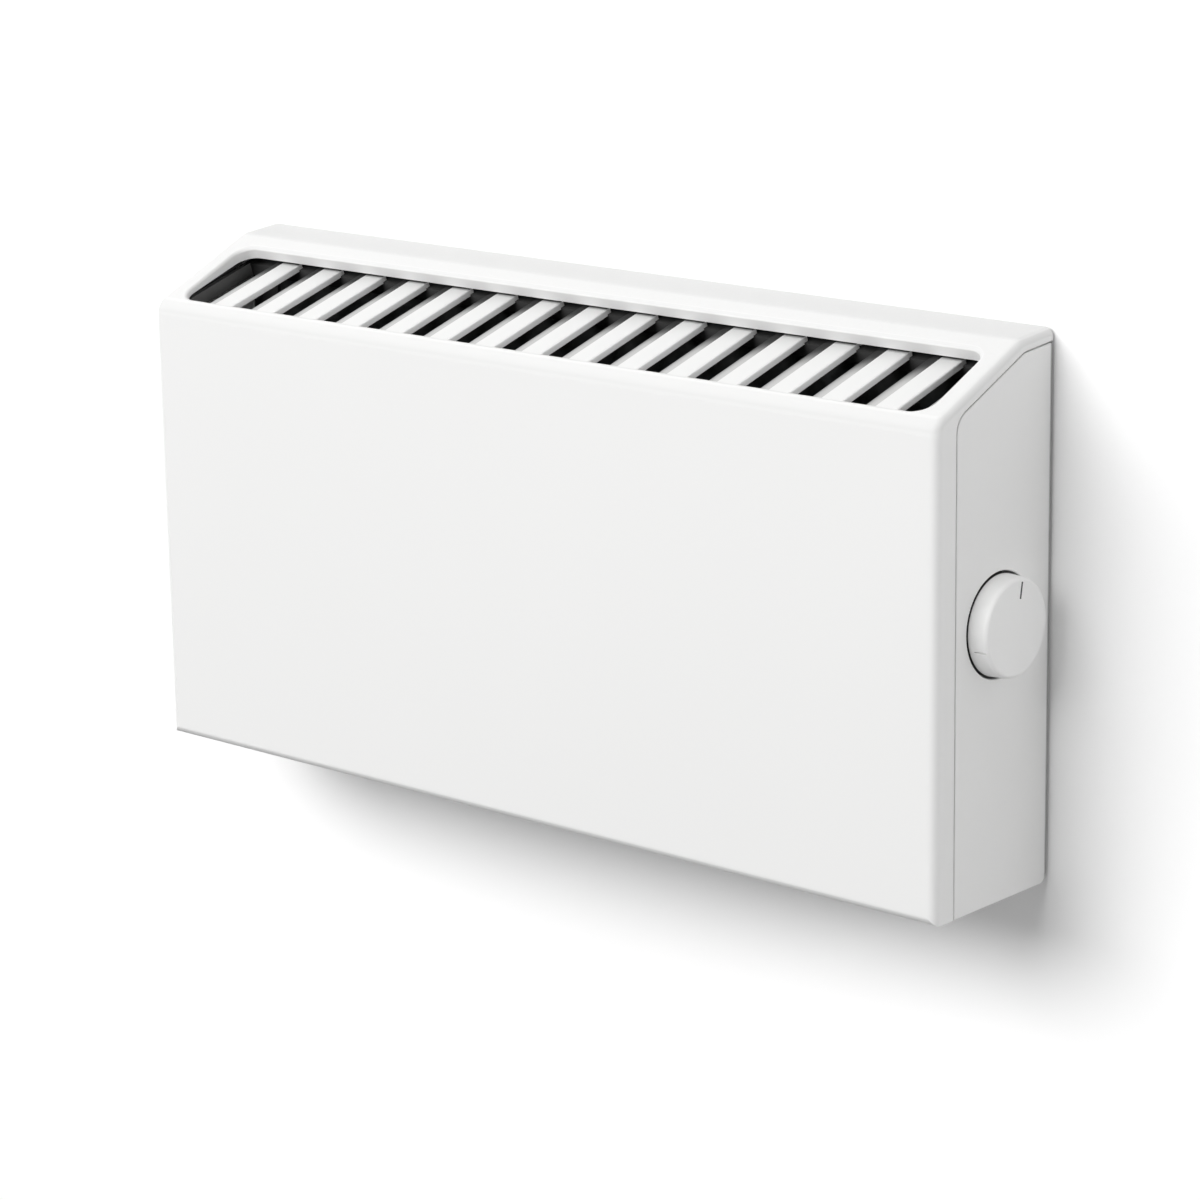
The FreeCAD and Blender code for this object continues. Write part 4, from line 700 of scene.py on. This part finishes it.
class HEATER_OT_chassis(bpy.types.Operator):
    """Dress the back panel, its bracket, the spacers, the shield and the screws"""

    bl_idname = "heater.chassis"
    bl_label = "Chassis"

    def execute(self, context):
        finish_slot("galvanised_sheet", spangled_zinc, "spangled zinc sheet")
        finish_slot("painted_bracket", coated_sheet, "bracket coat", rough=0.5, peel=24e-6)
        finish_slot(
            "black_rubber", moulding, "black rubber", rough=0.72, grain=14e-6, flecks=900.0
        )
        finish_slot("zinc_screw", drawn_metal, "zinc plated screw", stretch=(60, 60, 60))
        return {"FINISHED"}


class HEATER_OT_element(bpy.types.Operator):
    """Dress the finned heating element and its fittings"""

    bl_idname = "heater.element"
    bl_label = "Heating element"

    def execute(self, context):
        finish_slot("element_aluminium", drawn_metal, "bare aluminium", rough=0.32)
        finish_slot("sheath_steel", heated_steel, "heated steel")
        finish_slot("ceramic", glazed_ceramic, "glazed ceramic")
        return {"FINISHED"}


class HEATER_OT_controls(bpy.types.Operator):
    """Dress the thermostat, its sensor, the cut-out and the terminals"""

    bl_idname = "heater.controls"
    bl_label = "Controls"

    def execute(self, context):
        finish_slot("copper", drawn_metal, "copper tube", stretch=(40, 90, 90), stain=0.5)
        finish_slot("brass_tab", drawn_metal, "brass tab", stretch=(90, 20, 90), stain=0.4)
        finish_slot("dark_plastic", moulding, "black moulding", rough=0.46, grain=8e-6)
        finish_slot("pale_plastic", moulding, "cream moulding", rough=0.48, grain=7e-6)
        return {"FINISHED"}


class HEATER_OT_wiring(bpy.types.Operator):
    """Dress the insulated wires"""

    bl_idname = "heater.wiring"
    bl_label = "Wiring"

    def execute(self, context):
        finish_slot("brown_wire", moulding, "brown wire skin", rough=0.38, grain=5e-6)
        finish_slot("blue_wire", moulding, "blue wire skin", rough=0.38, grain=5e-6)
        finish_slot("green_wire", earth_lead, "earth wire skin")
        return {"FINISHED"}


def wall_paint(colour):
    """Matt white wall, lifted to white for the camera, less next to the heater as painted shadow,
    and clear when seen from behind.
    """
    finish = Finish("matt white wall")
    roller = finish.noise(finish.place(), scale=420.0)
    finish.surface(
        Base_Color=finish.blend(roller, shade(colour, 0.995), shade(colour, 1.005)),
        Roughness=0.9,
        Specular_IOR_Level=0.0,
    )
    seen = finish.node("ShaderNodeLightPath", output="Is Camera Ray")
    for kind in ("Is Glossy Ray", "Is Transmission Ray"):
        seen = seen + finish.node("ShaderNodeLightPath", output=kind)
    spread = finish.place(WALL_GLOW_SPREAD)
    reach = finish.node("ShaderNodeVectorMath", {"operation": "LENGTH"}, {0: spread}, "Value")
    # Painted shadow: the glow is weaker next to the heater
    away = finish.fade(reach, *WALL_GLOW_FADE)
    glow = finish.blend(away, shade(WHITE, WALL_GLOW_IN_SHADOW), rgba(WHITE))
    lift = finish.node("ShaderNodeEmission", None, {"Color": glow, "Strength": seen * WALL_GLOW})
    paint = Wire(finish, finish.shader.outputs[0])
    lit = finish.node("ShaderNodeAddShader", None, {0: paint, 1: lift})
    behind = finish.node("ShaderNodeNewGeometry", output="Backfacing")
    clear = finish.node("ShaderNodeBsdfTransparent")
    shown = finish.node("ShaderNodeMixShader", None, {0: behind, 1: lit, 2: clear})
    finish.feed(finish.output.inputs["Surface"], shown)
    return finish.material


def add_opening(name, sizes):
    """Faces with no width yet round an opening that the heater hides, left in edit mode."""
    low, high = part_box("front_cover")
    inset = sizes.wall_opening_inset
    bpy.ops.mesh.primitive_plane_add(size=1.0, rotation=(math.pi / 2, 0, 0))
    opening = bpy.context.object
    opening.name = name
    opening.scale = (high[0] - low[0] - 2 * inset, high[2] - low[2] - 2 * inset, 1.0)
    bpy.ops.object.transform_apply(location=True, rotation=True, scale=True)
    bpy.ops.object.mode_set(mode="EDIT")
    bpy.ops.mesh.select_all(action="SELECT")
    bpy.ops.mesh.delete(type="ONLY_FACE")
    bpy.ops.mesh.select_all(action="SELECT")
    bpy.ops.mesh.extrude_edges_move()
    return opening


def add_wall(sizes, colours):
    """A wall behind the heater, and a dark skirt that keeps light out of the gap between them."""
    wide, tall = (sizes.wall_reach * stretch for stretch in WALL_STRETCH)
    wall = add_opening("wall", sizes)
    bpy.ops.transform.resize(value=(wide, 1.0, tall), center_override=(0, 0, 0))
    bpy.ops.object.mode_set(mode="OBJECT")
    if wall.data.polygons[0].normal.y > 0:
        wall.data.flip_normals()
    wall.data.materials.append(wall_paint(colours.wall))
    deselect_all()
    skirt = add_opening("light_skirt", sizes)
    bpy.ops.transform.translate(value=(0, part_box("back_panel")[1][1] + SKIRT_GAP, 0))
    bpy.ops.object.mode_set(mode="OBJECT")
    skirt.data.materials.append(moulding("black skirt", SKIRT_BLACK, rough=0.9))
    skirt.visible_camera = False
    deselect_all()


def add_lamp(name, place, aim, width, height, power):
    """A soft lamp of a given size that looks at a point."""
    bpy.ops.object.light_add(type="AREA", location=place)
    lamp = bpy.context.object
    lamp.name = name
    lamp.data.shape = "ELLIPSE"
    lamp.data.size = width
    lamp.data.size_y = height
    lamp.data.energy = power
    lamp.rotation_euler = (Vector(aim) - Vector(place)).to_track_quat("-Z", "Y").to_euler()
    lamp.visible_camera = False


def add_world(level):
    """Even light from all round, with a white backdrop for the camera."""
    world = bpy.data.worlds.new("studio")
    bpy.context.scene.world = world
    world.use_nodes = True
    tree = world.node_tree
    paths = tree.nodes.new("ShaderNodeLightPath")
    mirrored = tree.nodes.new("ShaderNodeMath")
    tree.links.new(paths.outputs["Is Glossy Ray"], mirrored.inputs[0])
    tree.links.new(paths.outputs["Is Transmission Ray"], mirrored.inputs[1])
    direct = tree.nodes.new("ShaderNodeMath")
    tree.links.new(mirrored.outputs["Value"], direct.inputs[0])
    tree.links.new(paths.outputs["Is Camera Ray"], direct.inputs[1])
    seen = tree.nodes.new("ShaderNodeMapRange")
    tree.links.new(direct.outputs["Value"], seen.inputs["Value"])
    seen.inputs["To Min"].default_value = level
    seen.inputs["To Max"].default_value = 1.0
    background = tree.nodes["Background"]
    background.inputs["Color"].default_value = (1, 1, 1, 1)
    tree.links.new(seen.outputs["Result"], background.inputs["Strength"])


def add_camera(sizes):
    """The camera at the photograph's viewing angle."""
    yaw, pitch, roll = sizes.eye_yaw, sizes.eye_pitch, sizes.eye_roll
    flat = math.cos(pitch)
    ahead = Vector((-math.sin(yaw) * flat, math.cos(yaw) * flat, -math.sin(pitch)))
    level = Vector((math.cos(yaw), math.sin(yaw), 0.0))
    upright = level.cross(ahead)
    right = math.cos(roll) * level + math.sin(roll) * upright
    up = math.cos(roll) * upright - math.sin(roll) * level
    turn = Matrix((right, up, -ahead)).transposed()
    bpy.ops.object.camera_add(location=sizes.eye, rotation=turn.to_euler())
    camera = bpy.context.object
    camera.name = "eye"
    camera.data.sensor_width = SENSOR_WIDTH
    camera.data.lens = sizes.lens
    camera.data.clip_start = CLIP_START
    bpy.context.scene.camera = camera


class HEATER_OT_stage(bpy.types.Operator):
    """Set up the wall, the lamps, the backdrop and the camera"""

    bl_idname = "heater.stage"
    bl_label = "Stage"

    def execute(self, context):
        sizes = context.scene.heater_sizes
        deselect_all()
        add_wall(sizes, context.scene.heater_colours)
        for name, traits in LAMPS.items():
            add_lamp(name, **traits)
        add_world(WORLD_LEVEL)
        add_camera(sizes)
        context.scene.view_settings.view_transform = "Standard"
        return {"FINISHED"}


class HEATER_PT_panel(bpy.types.Panel):
    """Sidebar panel with the heater's pieces and settings"""

    bl_idname = "HEATER_PT_panel"
    bl_label = "Panel heater"
    bl_space_type = "VIEW_3D"
    bl_region_type = "UI"
    bl_category = "Heater"

    def draw(self, context):
        layout = self.layout
        for operator in OPERATORS:
            layout.operator(operator.bl_idname)
        for group in (context.scene.heater_sizes, context.scene.heater_colours):
            for name in group.__annotations__:
                layout.prop(group, name)


OPERATORS = (
    HEATER_OT_casing,
    HEATER_OT_grille,
    HEATER_OT_knob,
    HEATER_OT_chassis,
    HEATER_OT_element,
    HEATER_OT_controls,
    HEATER_OT_wiring,
    HEATER_OT_stage,
)
CLASSES = (HeaterSizes, HeaterColours, *OPERATORS, HEATER_PT_panel)


def register():
    for cls in CLASSES:
        bpy.utils.register_class(cls)
    bpy.types.Scene.heater_sizes = bpy.props.PointerProperty(type=HeaterSizes)
    bpy.types.Scene.heater_colours = bpy.props.PointerProperty(type=HeaterColours)


def unregister():
    del bpy.types.Scene.heater_colours
    del bpy.types.Scene.heater_sizes
    for cls in reversed(CLASSES):
        bpy.utils.unregister_class(cls)


def main():
    register()
    deselect_all()
    bpy.ops.heater.casing()
    bpy.ops.heater.grille()
    bpy.ops.heater.knob()
    bpy.ops.heater.chassis()
    bpy.ops.heater.element()
    bpy.ops.heater.controls()
    bpy.ops.heater.wiring()
    bpy.ops.heater.stage()


if __name__ == "__main__":
    main()
